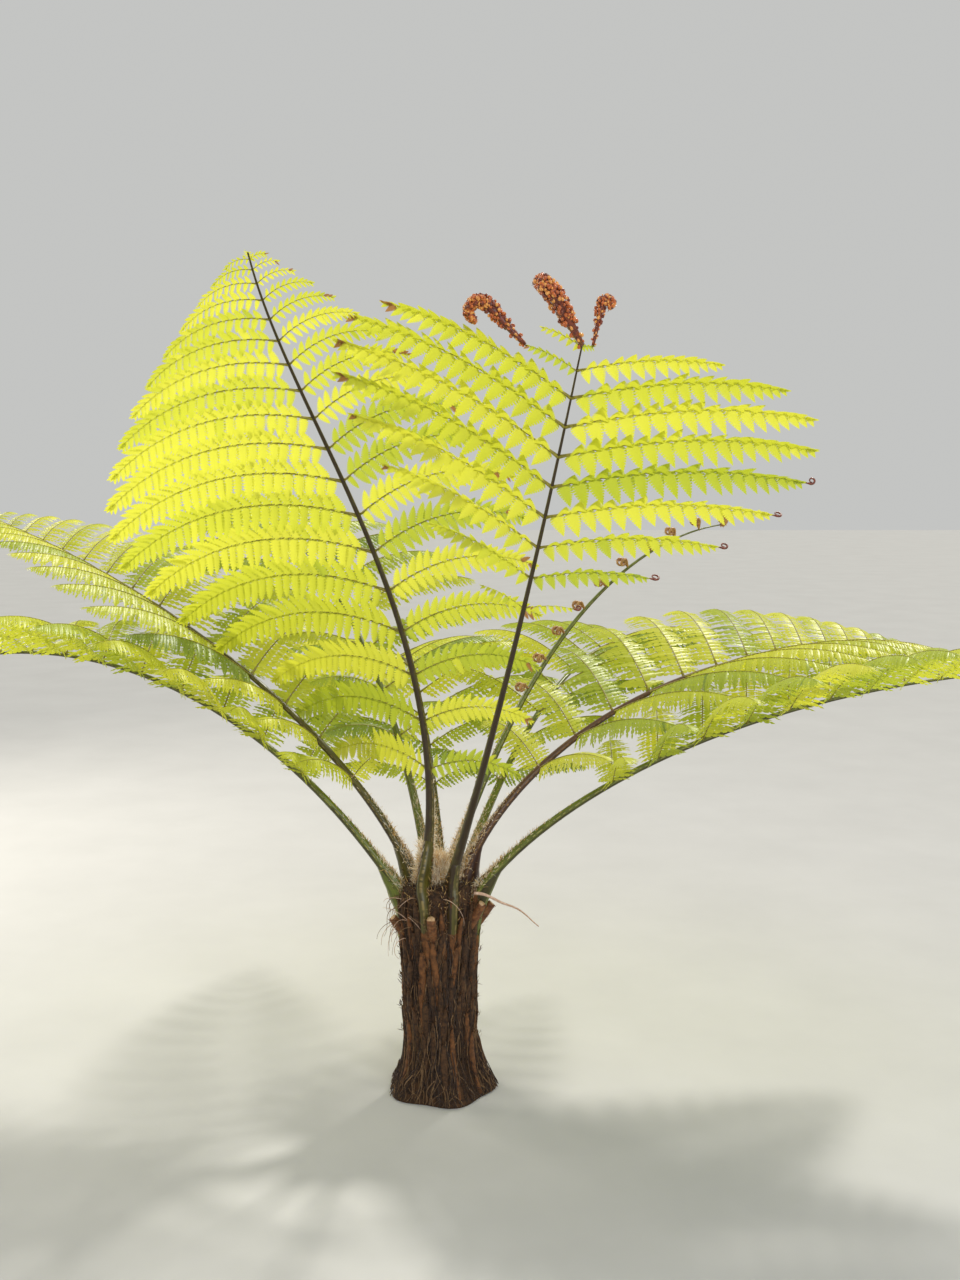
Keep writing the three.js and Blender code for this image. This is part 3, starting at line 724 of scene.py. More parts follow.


# Painted light: the upper colour paints the lit top of a stalk, and the underside colour paints its shade
def stalk_skin(name, upper, shaded_underside, line):
    """Fern stalk, a hard smooth rind: glossy where it is clean, streaked lengthwise, with painted light on
    its upper side and painted shade below, broken by blotches, and with a broken pale line of air pores along
    each side."""
    material, tree = new_material(name)
    spot = add_node(tree, "ShaderNodeTexCoord")
    parts = add_node(tree, "ShaderNodeSeparateXYZ", {"Vector": spot.outputs["UV"]})
    streak_map = add_node(tree, "ShaderNodeMapping",
                          {"Vector": spot.outputs["UV"], "Scale": (per_mm(55), 16.0, 1.0)})
    streaks = add_node(tree, "ShaderNodeTexNoise", {"Vector": streak_map, "Scale": 1.0, "Detail": 4.0})
    blotches = add_node(tree, "ShaderNodeTexNoise",
                        {"Vector": spot.outputs["Object"], "Scale": per_mm(30), "Detail": 3.0})
    # height is the sine of the angle around the stalk: 1 on its top and -1 underneath
    over = add_node(tree, "ShaderNodeMath", {0: parts.outputs["Y"], 1: 2 * math.pi}, operation="MULTIPLY")
    height = add_node(tree, "ShaderNodeMath", {0: over}, operation="SINE")
    # worn adds random blotches to that height: partly real mottling, partly painted light on top and painted
    # shade underneath
    worn = add_node(tree, "ShaderNodeMath", {0: blotches, 1: 2.4, 2: height}, operation="MULTIPLY_ADD")
    share = add_node(tree, "ShaderNodeMapRange", {"Value": worn, "From Min": 0.5, "From Max": 1.9})
    # Painted shade below, painted light above, mixed by that share
    lit_and_shaded = add_node(tree, "ShaderNodeMix", {"Factor": share, "A": rgba(shaded_underside), "B": rgba(upper)},
                        data_type="RGBA")
    darker = add_node(tree, "ShaderNodeMapRange",
                      {"Value": streaks, "From Min": 0.35, "From Max": 0.7, "To Min": 0.62, "To Max": 1.12})
    streaked = add_node(tree, "ShaderNodeMix", {"Factor": 1.0, "A": lit_and_shaded, "B": darker},
                        data_type="RGBA", blend_type="MULTIPLY")
    edge = add_node(tree, "ShaderNodeMath", {0: height, 1: 0.16}, operation="SUBTRACT")
    away = add_node(tree, "ShaderNodeMath", {0: edge}, operation="ABSOLUTE")
    dash_map = add_node(tree, "ShaderNodeMapping",
                        {"Vector": spot.outputs["UV"], "Scale": (per_mm(14), 2.0, 1.0)})
    dashes = add_node(tree, "ShaderNodeTexNoise", {"Vector": dash_map, "Scale": 1.0, "Detail": 1.0})
    thin = add_node(tree, "ShaderNodeMapRange", {"Value": away, "From Min": 0.14, "From Max": 0.04})
    broken = add_node(tree, "ShaderNodeMapRange", {"Value": dashes, "From Min": 0.46, "From Max": 0.54})
    pores = add_node(tree, "ShaderNodeMath", {0: thin, 1: broken}, operation="MULTIPLY")
    coloured = add_node(tree, "ShaderNodeMix", {"Factor": pores, "A": streaked, "B": rgba(line)},
                        data_type="RGBA")
    bump = add_node(tree, "ShaderNodeBump", {"Height": streaks, "Strength": 0.4, "Distance": 0.001})
    gloss = add_node(tree, "ShaderNodeMapRange", {"Value": blotches, "To Min": 0.22, "To Max": 0.46})
    finish(tree, add_node(tree, "ShaderNodeBsdfPrincipled",
                          {"Base Color": coloured, "Roughness": gloss, "IOR": 1.5, "Normal": bump}))
    return material


def matted(name, dark, pale, grain, rough, sheen, relief):
    """Dry plant fibre or scale: dull, mottled from dark to pale at its own grain, with a little fuzz. grain
    is in millimetres and relief in metres."""
    material, tree = new_material(name)
    spot = add_node(tree, "ShaderNodeTexCoord")
    mottle = add_node(tree, "ShaderNodeTexNoise", {
        "Vector": spot.outputs["Object"], "Scale": per_mm(grain), "Detail": 4.0, "Roughness": 0.6,
    })
    share = add_node(tree, "ShaderNodeMapRange", {"Value": mottle, "From Min": 0.32, "From Max": 0.68})
    colour = add_node(tree, "ShaderNodeMix", {"Factor": share, "A": rgba(dark), "B": rgba(pale)},
                      data_type="RGBA")
    bump = add_node(tree, "ShaderNodeBump", {"Height": mottle, "Strength": 0.6, "Distance": relief})
    finish(tree, add_node(tree, "ShaderNodeBsdfPrincipled", {
        "Base Color": colour, "Roughness": rough, "Sheen Weight": sheen, "Normal": bump,
    }))
    return material


class Finishes:
    """Every material of the plant, made once."""

    def __init__(self, colours):
        # Leaf tissue in four tints of one material: painted sunlight first, then two middle greens, then
        # painted shade; the light each lets through darkens with it
        through = ("#ecec4a", "#dee240", "#c8d236", "#a6b832")
        faces = (colours.leaf_sunlit, colours.leaf_fresh, colours.leaf_green, colours.leaf_shaded)
        names = ("leaf_tissue_sunlit", "leaf_tissue_fresh", "leaf_tissue_green", "leaf_tissue_shaded")
        self.leaves = [leaf_tissue(n, f, t) for n, f, t in zip(names, faces, through)]
        # A leaf that has dried on the plant is crisp and tobacco brown
        self.leaves.append(leaf_tissue("leaf_tissue_dried", "#94683a", "#b08048", 0.6))
        # Ribs of the leaflets: waxy and thin, straw to olive
        self.costa = matted("leaflet_rib_wax", "#6f6a1e", "#a79a38", 6, 0.5, 0.0, 0.0004)
        # Stalks by the colour of their rind, each with a painted lit top and a painted shaded underside
        self.skins = {
            "olive": stalk_skin("stalk_rind_olive", "#6e7822", "#423c14", "#a09850"),
            "brown": stalk_skin("stalk_rind_brown", "#5c561c", "#3a2a10", "#8c7840"),
            "red": stalk_skin("stalk_rind_red", "#5e3e1a", "#3a1c0c", "#8c6438"),
        }
        # Golden wool: fine dry hairs that shine at their edges
        self.wool = matted("wool_gold", "#b8823c", "#ecca80", 4, 0.6, 0.4, 0.0006)
        self.wool_pale = matted("wool_cream", "#ead2a2", "#fff6e2", 4, 0.6, 0.4, 0.0006)
        # Rust scales: papery and overlapping, with a low gloss, and the tan skin of the young coils
        self.rust = matted("scale_rust", "#8e3a12", "#d8742a", 5, 0.32, 0.2, 0.0006)
        self.rust_dark = matted("scale_umber", "#48180c", "#8a3a18", 5, 0.36, 0.2, 0.0006)
        self.coil = matted("young_coil_skin", "#80562a", "#cc9c5c", 5, 0.4, 0.2, 0.0006)
        self.rust_pale = matted("scale_straw", "#cc7c30", "#f4b45c", 5, 0.34, 0.2, 0.0006)
        # Old stalk bases and roots: dry, dark and fibrous
        self.bark = matted("old_stalk_base", "#20140c", "#5c3e22", 9, 0.9, 0.0, 0.003)
        self.bark_warm = matted("old_stalk_base_worn", "#3e2613", "#84542a", 12, 0.85, 0.0, 0.003)
        self.root = matted("root_fibre_dark", "#20140c", "#4a3220", 7, 0.9, 0.1, 0.001)
        self.root_pale = matted("root_fibre_weathered", "#5a4026", "#8d6d48", 7, 0.9, 0.1, 0.001)
        # A fresh cut through a stalk: pale pith with darker strands
        self.cut = matted("stalk_pith_cut", "#a8794a", "#e0c39a", 2.5, 0.8, 0.0, 0.0006)
        # A withered stalk has bleached
        self.dry = matted("stalk_withered", "#b08468", "#e4c6ae", 8, 0.75, 0.0, 0.001)
        # A stalk stub that dried red brown
        self.stub = matted("old_stalk_red", "#4c2814", "#8c5a30", 10, 0.7, 0.0, 0.001)


FINISHES = {}


def finishes(context):
    """The plant's materials, made when the first piece asks for them."""
    if "plant" not in FINISHES:
        FINISHES["plant"] = Finishes(context.scene.fern_colours)
    return FINISHES["plant"]


# Leaflets

def tilted_frames(leaflet, share):
    """Points along a leaflet's rib, its travel there, the direction towards the frond's tip within the
    leaflet's plane, and the plane's normal."""
    point = sampled(leaflet["points"], share)
    travel = unit(sampled(leaflet["travel"], share))
    rib_travel = leaflet["at"][1]
    normal = square_to(np.broadcast_to(leaflet["up"], travel.shape), travel)
    tipward = np.cross(normal, travel)
    sign = np.sign(np.sum(tipward * rib_travel, axis=-1, keepdims=True))
    tipward = tipward * np.where(sign == 0, 1, sign)
    climb = max(0, math.degrees(math.asin(rib_travel[2])))
    tilt = rad(BLIND_TILT + BLIND_TILT_RISE * climb)
    face = normal * math.cos(tilt) + tipward * math.sin(tilt)
    edge = tipward * math.cos(tilt) - normal * math.sin(tilt)
    return point, travel, edge, face


def grow_segments(heap, template, frond, leaflet, shape, tints, rng):
    """Both rows of toothed segments along one leaflet, and the one at its tip."""
    length = leaflet["length"]
    spacing = frond["spacing"] * shape.spacing * (length / frond["leaflet"]) ** 0.4
    dressed = length * (1 - SEGMENTS_START)
    count = max(4, round(dressed / spacing))
    # Painted shade: many of the lowest leaflets, low in the crown, are dealt a tint deeper
    lower_shade = rng.random() < 0.6 * (1 - leaflet["pair"] / frond["pairs"]) ** 2
    tint = min(3, rng.choice(4, p=tints) + lower_shade)
    behind = leaflet["at"][2][1] * leaflet["hand"] > 0.3
    folds = frond.get("fold_behind", frond["fold"]) if behind else frond["fold"]
    for row, hand in enumerate((1, -1)):
        place = (np.arange(count) + 0.5 + ROW_OFFSET * hand) / count
        share = mix(SEGMENTS_START, SEGMENTS_END, 1 - (1 - place) ** SEGMENT_CROWDING)
        step = dressed / count * SEGMENT_CROWDING * (1 - place) ** (SEGMENT_CROWDING - 1)
        point, travel, edge, face = tilted_frames(leaflet, share)
        fold = np.radians(folds[row] + rng.normal(0, UNEVEN["fold"], count))[:, None]
        lean = mix(*frond["lean"][row], share**1.7) + rng.normal(0, UNEVEN["lean"], count)
        lean = np.radians(lean)[:, None]
        square = edge * hand * np.cos(fold) - face * np.sin(fold)
        out = unit(square * np.cos(lean) + travel * np.sin(lean))
        normal = unit(np.cross(out, travel)) * hand
        normal = normal * np.sign(np.sum(normal * face, axis=1, keepdims=True))
        normal = turned(normal, out, rng.normal(0, rad(UNEVEN["twist"]), (count, 1)))
        reach = np.interp(share, *REACH_OUTLINE.T) * frond["reach"] * length**REACH_POWER
        reach = np.maximum(reach, SHORTEST_SEGMENT) * rng.uniform(0.92, 1.06, count)
        half = np.minimum(step * 0.6 * np.cos(lean[:, 0]) ** 0.5, reach * frond["slim"])
        hang = np.radians(frond["hang"] + rng.normal(0, UNEVEN["hang"], count))
        hang = hang * np.hypot(out[:, 0], out[:, 1])
        dealt = np.clip(tint + rng.choice([-1, 0, 1], count, p=[0.02, 0.96, 0.02]), 0, 3)
        # Segments near the end of a withered leaflet have dried
        side, start, chance = frond.get("withered", (0, 1, 0))
        dries = np.where((side == leaflet["hand"]) & (share > start), chance, 0)
        dealt = np.where(rng.random(count) < dries, len(tints), dealt)
        add_segments(heap, template, point, out, normal, reach, half, hang, dealt)
    point, travel, edge, face = tilted_frames(leaflet, np.array([0.955]))
    add_segments(heap, template, point, travel, face, np.array([0.045 * length + 0.004]),
                 np.array([0.01 * length + 0.001]), np.array([0.1]), np.array([tint]))


def grow_costa(heap, leaflet):
    """The thin rib of one leaflet, flared where it leaves the frond's rib."""
    share = np.linspace(0, 0.97, 14)
    points = sampled(leaflet["points"], share)
    size = math.sqrt(leaflet["length"] / 0.45)
    radius = size * (mix(0.0021, 0.0005, share) + 0.0022 * np.exp(-share / 0.02))
    add_tube(heap, points, leaflet["up"], radius, 5)


def tip_leaflet(frond, line):
    """The last stretch of a frond's rib, taken as one more leaflet."""
    last = leaflet_stations(frond)[-2]
    share = np.linspace(last, 1, LEAFLET_STEPS + 1)
    points, travel, side = along_rib(line, share)
    return {
        "at": (points[0], np.cross(UP, side[0]), side[0]), "hand": 1,
        "length": (1 - last) * frond["length"], "points": points, "travel": travel,
        "up": np.cross(side[0], travel[0]), "pair": frond["pairs"],
    }


def grow_frond(frond, seed, shape, finish_set):
    """One frond's leaf segments and leaflet ribs, each kind joined."""
    rng = np.random.default_rng(seed)
    line, leaflets = leaflets_of(frond)
    template = segment_template(frond["lobes"], frond.get("pointed", 0), frond.get("whole", 0))
    tints = np.array(frond["tints"], float) / sum(frond["tints"])
    leaves, ribs = Heap(), Heap()
    ends = [] if frond is FRONT_RIGHT else [tip_leaflet(frond, line)]
    for leaflet in leaflets + ends:
        grow_segments(leaves, template, frond, leaflet, shape, tints, rng)
        grow_costa(ribs, leaflet)
        if leaflet["hand"] < 0 and leaflet["pair"] < frond.get("coiled", 0):
            end, way = leaflet["points"][-1], leaflet["travel"][-1]
            axis = square_to(leaflet["at"][1] + rng.normal(0, 0.4, 3), way)
            coil = rng.uniform(*LEAFLET_COIL)
            add_crozier(ribs, end, way, axis, 0.012, coil, 1.1, 0.0026, 6, 1)
    leaves.piece(f"leaves_{frond['name']}", finish_set.leaves, "leaf", frond_nodes(frond))
    materials = [finish_set.costa, finish_set.rust_dark]
    ribs.piece(f"leaflet_ribs_{frond['name']}", materials, "stalk", frond_nodes(frond))


# Stalks

def on_stalk(line, place, around, depth):
    """Points around a stalk, at a share of its radius from its middle, with its travel there and the
    directions away from its middle."""
    at, way, level = along_rib(line, place)
    spoke = spokes(level, np.cross(level, way), around)
    return at + spoke * rib_radius(place)[:, None] * depth, way, spoke


def add_prickles(heap, frond, line, count):
    """Small cones on a stalk, thickest towards its foot."""
    rng = np.random.default_rng(len(frond["name"]) + int(frond["length"] * 1000))
    place = rng.exponential(0.09, count) + 0.02
    place = place[place < frond["bare"]]
    base, way, spoke = on_stalk(line, place, rng.uniform(0, 2 * math.pi, len(place)), 0.95)
    ring = [np.cos(a) * way + np.sin(a) * np.cross(spoke, way) for a in (0, 2.1, 4.2)]
    size = rng.uniform(0.0006, 0.0014, (len(place), 1))
    corners = [base + r * size for r in ring] + [base + spoke * size * 1.6 + way * size * 0.8]
    faces = copies([[0, 1, 3], [1, 2, 3], [2, 0, 3]], len(place), 4)
    # Their uv gives the prickles the rind's darker underside tone, the painted shade colour
    heap.add(np.stack(corners, axis=1), faces, 0, np.tile([0.3, 0.75], (len(place) * 4, 1)))


def grow_stalk(frond, shape, finish_set, nodes):
    """A stalk and the rib that goes on from it, grooved on top, with prickles towards the foot."""
    line = rib_line(frond)
    share = np.linspace(0, 1, STALK_ROWS)
    points, travel, side = along_rib(line, share)
    groove = 1 - GROOVE_DEPTH * np.maximum(0, np.cos(round_angles(STALK_SIDES) - math.pi / 2)) ** 6
    radius = rib_radius(share)[:, None] * groove
    heap = Heap()
    whole, faces, uv = tube(points, side, np.cross(side, travel), radius, STALK_SIDES)
    heap.add(whole, faces, 0, uv)
    add_prickles(heap, frond, line, shape.prickles)
    skins = [finish_set.skins[frond["skin"]]]
    heap.piece(f"rib_and_stalk_{frond['name']}", skins, "stalk", nodes)


def foot_hairs(heap, frond, count, rng, reach=0.075):
    """Golden hairs, thickest at a stalk's foot and on its upper side."""
    place = np.minimum(rng.exponential(reach / frond["length"], count) + 0.004, frond["bare"])
    base, way, spoke = on_stalk(rib_line(frond), place, rng.normal(math.pi / 2, 0.55, count), 0.96)
    lie = spoke * rng.uniform(0.25, 0.8, (count, 1)) + way * rng.uniform(0.3, 1.1, (count, 1))
    out = strewn(lie, 0.25, count, rng)
    fade = np.exp(-place * frond["length"] / 0.22)
    length, width = drawn(STALK_HAIR[:2], count, rng)
    slot = (rng.random(count) < 0.55).astype(int)
    curl = rng.uniform(*STALK_HAIR[2], count)
    add_blades(heap, base, out, (length * (0.3 + 0.7 * fade), width, curl), slot, rng)


# Rolled tips

def crozier_line(start, travel, axis, straight, coil, turns, rows):
    """A line that runs straight, then winds in on itself, with its share of the way wound."""
    points, wound = [np.array(start, float)], [0.0]
    heading = unit(np.array(travel, float))
    angle = turns * 2 * math.pi / rows
    for _ in range(6):
        points.append(points[-1] + heading * straight / 6)
        wound.append(0.0)
    for i in range(rows):
        share = (i + 0.5) / rows
        heading = turned(heading, axis, angle)
        points.append(points[-1] + heading * mix(coil, coil * 0.4, share) * angle)
        wound.append((i + 1) / rows)
    return np.array(points), np.array(wound)


def add_crozier(heap, start, travel, axis, straight, coil, turns, radius, sides, slot=0, rows=26):
    """A rolled limb that tapers along its coil. Gives its points and its radius at each."""
    points, wound = crozier_line(start, travel, axis, straight, coil, turns, rows)
    run = np.clip(np.arange(len(points)) / 5, 0, 1)
    thick = radius * mix(0.45, 1, run) * mix(1, 0.4, wound)
    add_tube(heap, points, axis, thick, sides, slot)
    return points, thick


def scaly_crozier(tip, shape, finish_set):
    """A rolled tip: the coiled rib, little coils packed around it, and beads and rust scales over all."""
    rng = np.random.default_rng(sum(map(ord, tip["name"])))
    heap = Heap()
    points, thick = add_crozier(
        heap, tip["start"], tip["travel"], tip["axis"], tip["straight"], tip["coil"], tip["turns"],
        tip["radius"] * 0.62, 10, 1,
    )
    rows = np.arange(len(points))
    side = carried_frame(points, tip["axis"])[0]
    travel = unit(np.gradient(points, axis=0))
    walked = walked_along(points)
    curls = max(14, int(walked[-1] / (tip["radius"] * 0.2)))
    for i in range(curls):
        row = np.interp((i + 0.5) / curls * walked[-1], walked, rows)
        way, level = unit(at_row(travel, row)), at_row(side, row)
        body = np.interp(row, rows, thick)
        size = mix(tip["radius"], 1.5 * body, 0.7) * rng.uniform(0.85, 1.1)
        around = i * GOLDEN_ANGLE + rng.normal(0, 0.2)
        spoke = unit(level * math.cos(around) + np.cross(way, level) * math.sin(around))
        axis = unit(np.cross(spoke, way)) * (1 if i % 2 else -1)
        slot = int(rng.choice(3, p=[0.5, 0.2, 0.3]))
        add_crozier(heap, at_row(points, row) + spoke * body * 0.9, unit(spoke * 0.8 + way * 0.9), axis,
                    size * 0.1, size * 0.26, 1.1, size * 0.2, 7, slot, 12)

    def around_tip(count):
        """Points of the rib, the direction there and away from it, and its radius."""
        row = rng.uniform(3, len(points) - 1, count)
        way = unit(at_row(travel, row))
        level = square_to(at_row(side, row), way)
        spoke = spokes(level, np.cross(way, level), rng.uniform(0, 2 * math.pi, count))
        return at_row(points, row), way, spoke, np.interp(row, rows, thick)

    tip_lengths = walked[-1] / TIP_LENGTH
    count = int(shape.beads * tip_lengths)
    at, way, spoke, body = around_tip(count)
    bead = rng.uniform(0.0026, 0.0046, count) * (tip["radius"] / 0.02) ** 0.3
    add_beads(heap, at + spoke * (body * rng.uniform(1.1, 1.62, count))[:, None], bead,
              rng.choice(3, count, p=[0.55, 0.2, 0.25]))
    count = int(shape.scales * tip_lengths)
    at, way, spoke, body = around_tip(count)
    out = strewn(spoke * 0.5 + way * 0.9, 0.3, count, rng)
    add_blades(heap, at + spoke * (body * 1.35)[:, None], out, drawn(RUST_SCALE, count, rng),
               rng.choice(3, count, p=[0.4, 0.2, 0.4]), rng)
    materials = [finish_set.rust, finish_set.rust_dark, finish_set.rust_pale]
    heap.piece(tip["name"] + "_scales", materials, "rust_scales", (tip["name"],))


# The plant's operators

class FernShape(bpy.types.PropertyGroup):
    """Sizes and counts of the fine parts"""

    spacing: FloatProperty(
        name="Segment spacing", description="Times the spacing of each frond's leaf segments",
        default=1.0, min=0.5, max=3.0, subtype="FACTOR")
    prickles: IntProperty(
        name="Prickles", description="Small prickles on each stalk", default=90, min=0)
    hairs: IntProperty(
        name="Foot hairs", description="Golden hairs on each stalk's foot", default=1100, min=0)
    bud_hairs: IntProperty(
        name="Bud hairs", description="Hairs on the woolly bud", default=4200, min=0)
    beads: IntProperty(
        name="Beads", description="Round leaf buds for each 150 mm of rolled tip", default=420, min=0)
    scales: IntProperty(
        name="Scales", description="Rust scales for each 150 mm of rolled tip", default=160, min=0)
    roots: IntProperty(
        name="Roots", description="Wiry roots that run down the trunk", default=1500, min=0)
    crown_fibres: IntProperty(
        name="Crown fibres", description="Short fibres on the trunk's shoulder", default=3000, min=0)
    curls: IntProperty(
        name="Dried curls", description="Curled fibres on the trunk's left side", default=34, min=0)
    bases: IntProperty(
        name="Stalk bases", description="Old stalk bases that clothe the trunk", default=104, min=0)
    root_radius: FloatProperty(
        name="Root radius", description="Radius of the thickest wiry roots",
        default=0.0015, min=0.0002, unit="LENGTH", subtype="DISTANCE")


class FernColours(bpy.types.PropertyGroup):
    """Colours of the leaves"""

    # Painted light: the four leaf tints are one tissue lit and shaded, from the sunlit tint, which is painted
    # sunlight, down to the darkest tint, which is painted shade
    leaf_sunlit: FloatVectorProperty(
        name="Sunlit leaf", description="The youngest and thinnest leaf tissue", subtype="COLOR",
        default=linear("#d2d444"), min=0, max=1)
    leaf_fresh: FloatVectorProperty(
        name="Fresh leaf", description="Leaf tissue of a season", subtype="COLOR",
        default=linear("#c4ca3a"), min=0, max=1)
    leaf_green: FloatVectorProperty(
        name="Green leaf", description="Full green leaf tissue", subtype="COLOR",
        default=linear("#a8b638"), min=0, max=1)
    # Painted shade: the darkest tint stands for leaf tissue in shade
    leaf_shaded: FloatVectorProperty(
        name="Deep leaf", description="The oldest, darkest leaf tissue", subtype="COLOR",
        default=linear("#82943a"), min=0, max=1)


class FernStage(bpy.types.PropertyGroup):
    """Floor, lights and camera"""

    floor_size: FloatProperty(
        name="Floor", description="Side of the square floor", default=60.0, unit="LENGTH")
    key_power: FloatProperty(
        name="Key light", description="Strength of the sun from behind", default=2.5, min=0)
    rim_power: FloatProperty(
        name="Rim light", description="Power of the light from the left", default=120.0, min=0)
    fill_power: FloatProperty(
        name="Fill light", description="Power of the light from in front", default=100.0, min=0)
    world: FloatProperty(
        name="Surroundings", description="Strength of the even light from all sides", default=0.62)
    camera_distance: FloatProperty(
        name="Camera distance", description="How far the camera stands in front of the trunk",
        default=3.4, unit="LENGTH")
    camera_height: FloatProperty(
        name="Camera height", description="How high the camera stands", default=1.53, unit="LENGTH")
    camera_tilt: FloatProperty(
        name="Camera tilt", description="How far the camera looks down", default=rad(7),
        subtype="ANGLE")
    lens: FloatProperty(
        name="Lens", description="Focal length of the camera", default=40.4, min=1)


class FERN_OT_stage(bpy.types.Operator):
    """Lay the floor, set the lights and place the camera"""

    bl_idname = "fern.stage"
    bl_label = "Stage"

    def execute(self, context):
        stage = context.scene.fern_stage
        half = stage.floor_size / 2
        mesh = bpy.data.meshes.new("floor")
        corners = [(-half, -half, 0), (half, -half, 0), (half, half, 0), (-half, half, 0)]
        mesh.from_pydata(corners, [], [(0, 1, 2, 3)])
        mesh.materials.append(matted("floor_plaster", "#b6b6b4", "#bbbbb9", 400, 0.9, 0.0, 0.0002))
        new_object("floor", mesh)
        self.add_light("key", "SUN", (1.9, 3.4, 5.2), rad(5), stage.key_power, "#fffaf0")
        self.add_light("rim", "AREA", (-3.4, 2.4, 2.6), 2.0, stage.rim_power, "#fff8ea")
        self.add_light("fill", "AREA", (1.8, -4.2, 3.2), 3.2, stage.fill_power, "#f6f9ff")
        world = bpy.data.worlds.new("soft_surroundings")
        world.use_nodes = True
        background = world.node_tree.nodes["Background"]
        background.inputs["Color"].default_value = rgba("#f2f3f1")
        background.inputs["Strength"].default_value = stage.world
        context.scene.world = world
        context.scene.view_settings.view_transform = "Standard"
        data = bpy.data.cameras.new("camera")
        data.lens = stage.lens
        data.sensor_width = 36
        camera = new_object("camera", data)
        camera.location = (CAMERA_X, -stage.camera_distance, stage.camera_height)
        camera.rotation_euler = (math.pi / 2 - stage.camera_tilt, 0, 0)
        context.scene.camera = camera
        return {"FINISHED"}

    def add_light(self, name, kind, place, size, power, colour):
        """One light that points at the plant. size is a sun's angle or the side of an area."""
        data = bpy.data.lights.new(name, kind)
        setattr(data, "angle" if kind == "SUN" else "size", size)
        data.energy = power
        data.color = linear(colour)
        turn = (LIT_POINT - Vector(place)).to_track_quat("-Z", "Y").to_matrix().to_4x4()
        new_object(name, data).matrix_world = Matrix.Translation(place) @ turn


class FERN_OT_trunk(bpy.types.Operator):
    """Build the trunk from old stalk bases and wiry roots"""

    bl_idname = "fern.trunk"
    bl_label = "Trunk"

    def execute(self, context):
        shape = context.scene.fern_shape
        finish_set = finishes(context)
        rng = np.random.default_rng(11)
        heap = Heap()
        self.add_core(heap, rng)
        self.add_bases(heap, shape.bases, rng)
        heap.piece("trunk_bases", [finish_set.bark, finish_set.bark_warm], "bark", ("trunk",))
        roots = Heap()
        self.add_roots(roots, shape, rng)
        materials = [finish_set.root, finish_set.root_pale]
        roots.piece("trunk_roots", materials, "bark", ("trunk",))
        return {"FINISHED"}

    def add_core(self, heap, rng):
        """The trunk's body under its bases and roots."""
        rows, sides = 60, 90
        height = np.linspace(0, TRUNK_HEIGHT, rows)[:, None] + np.zeros((rows, sides))
        angle = np.zeros((rows, sides)) + round_angles(sides)
        skin, outward = trunk_skin(angle, height)
        rough = rng.normal(0, CORE_RELIEF, (rows, sides))
        rough[[0, -1]] = 0
        skin = skin + outward * (rough - CORE_DEPTH)[..., None]
        uv = np.stack([height, angle / (2 * math.pi)], axis=-1)
        whole = np.vstack([skin.reshape(-1, 3), trunk_middle(0.0), trunk_middle(TRUNK_HEIGHT)])
        heap.add(whole, tube_faces(rows, sides), 0, np.vstack([uv.reshape(-1, 2), [[0, 0], [0, 0]]]))

    def add_bases(self, heap, count, rng):
        """Old stalk bases in a spiral, each a flattened rod that climbs the trunk and stands off it
        at its broken top."""
        tuft = 14
        for i in range(count):
            top = mix(LOWEST_BASE, TRUNK_HEIGHT - 0.006, ((i + 0.5) / count) ** 0.9)
            run = rng.uniform(*BASE_RUN)
            share = np.linspace(0, 1, 14)
            height = top - run * (1 - share)
            angle = i * GOLDEN_ANGLE + rng.normal(0, 0.05) + rng.normal(0, 0.12) * (share - 1)
            skin, outward = trunk_skin(angle, height)
            lift = mix(-0.008, 0.0005, share) + rng.uniform(0.003, 0.008) * share**5
            points = skin + outward * lift[:, None]
            points = points[points[:, 2] > 0.004]
            size = rng.uniform(*BASE_RADIUS)
            place = np.linspace(0, 1, len(points))
            radius = size * np.interp(place, [0, 0.5, 0.85, 1], [0.5, 1, 0.85, 0.3])
            radius = radius[:, None] * rng.uniform(0.88, 1.1, (len(points), 9))
            add_tube(heap, points, outward[0], radius, 9, int(rng.random() < 0.35))
            out = strewn(outward[-1] * 0.4 + UP, 0.3, tuft, rng)
            add_blades(heap, points[-1] + rng.normal(0, size * 0.4, (tuft, 3)), out,
                       drawn(BASE_TUFT, tuft, rng), rng.integers(0, 2, tuft), rng)

    def add_roots(self, heap, shape, rng):
        """Wiry roots, matted towards the foot, that wander down the bases."""
        share = np.linspace(0, 1, 8)

        def wave(slowest, fastest):
            return np.sin(share * rng.uniform(slowest, fastest) + rng.uniform(0, 6))

        for _ in range(shape.roots):
            top = rng.beta(1.25, 1.15) * (TRUNK_HEIGHT - 0.03) + 0.012
            run = min(top - 0.004, rng.uniform(*ROOT_RUN))
            drift = rng.normal(0, 0.16) * share + 0.05 * wave(3, 9)
            skin, outward = trunk_skin(rng.uniform(0, 2 * math.pi) + drift, top - run * share)
            lift = rng.uniform(-0.001, 0.0055) + 0.003 * wave(2, 8)
            points = skin + outward * (lift * (1 - 0.4 * share))[:, None]
            radius = rng.uniform(0.45, 1) * shape.root_radius * mix(1, 0.55, share)
            add_tube(heap, points, outward[0], radius, 4, int(rng.random() < 0.3))


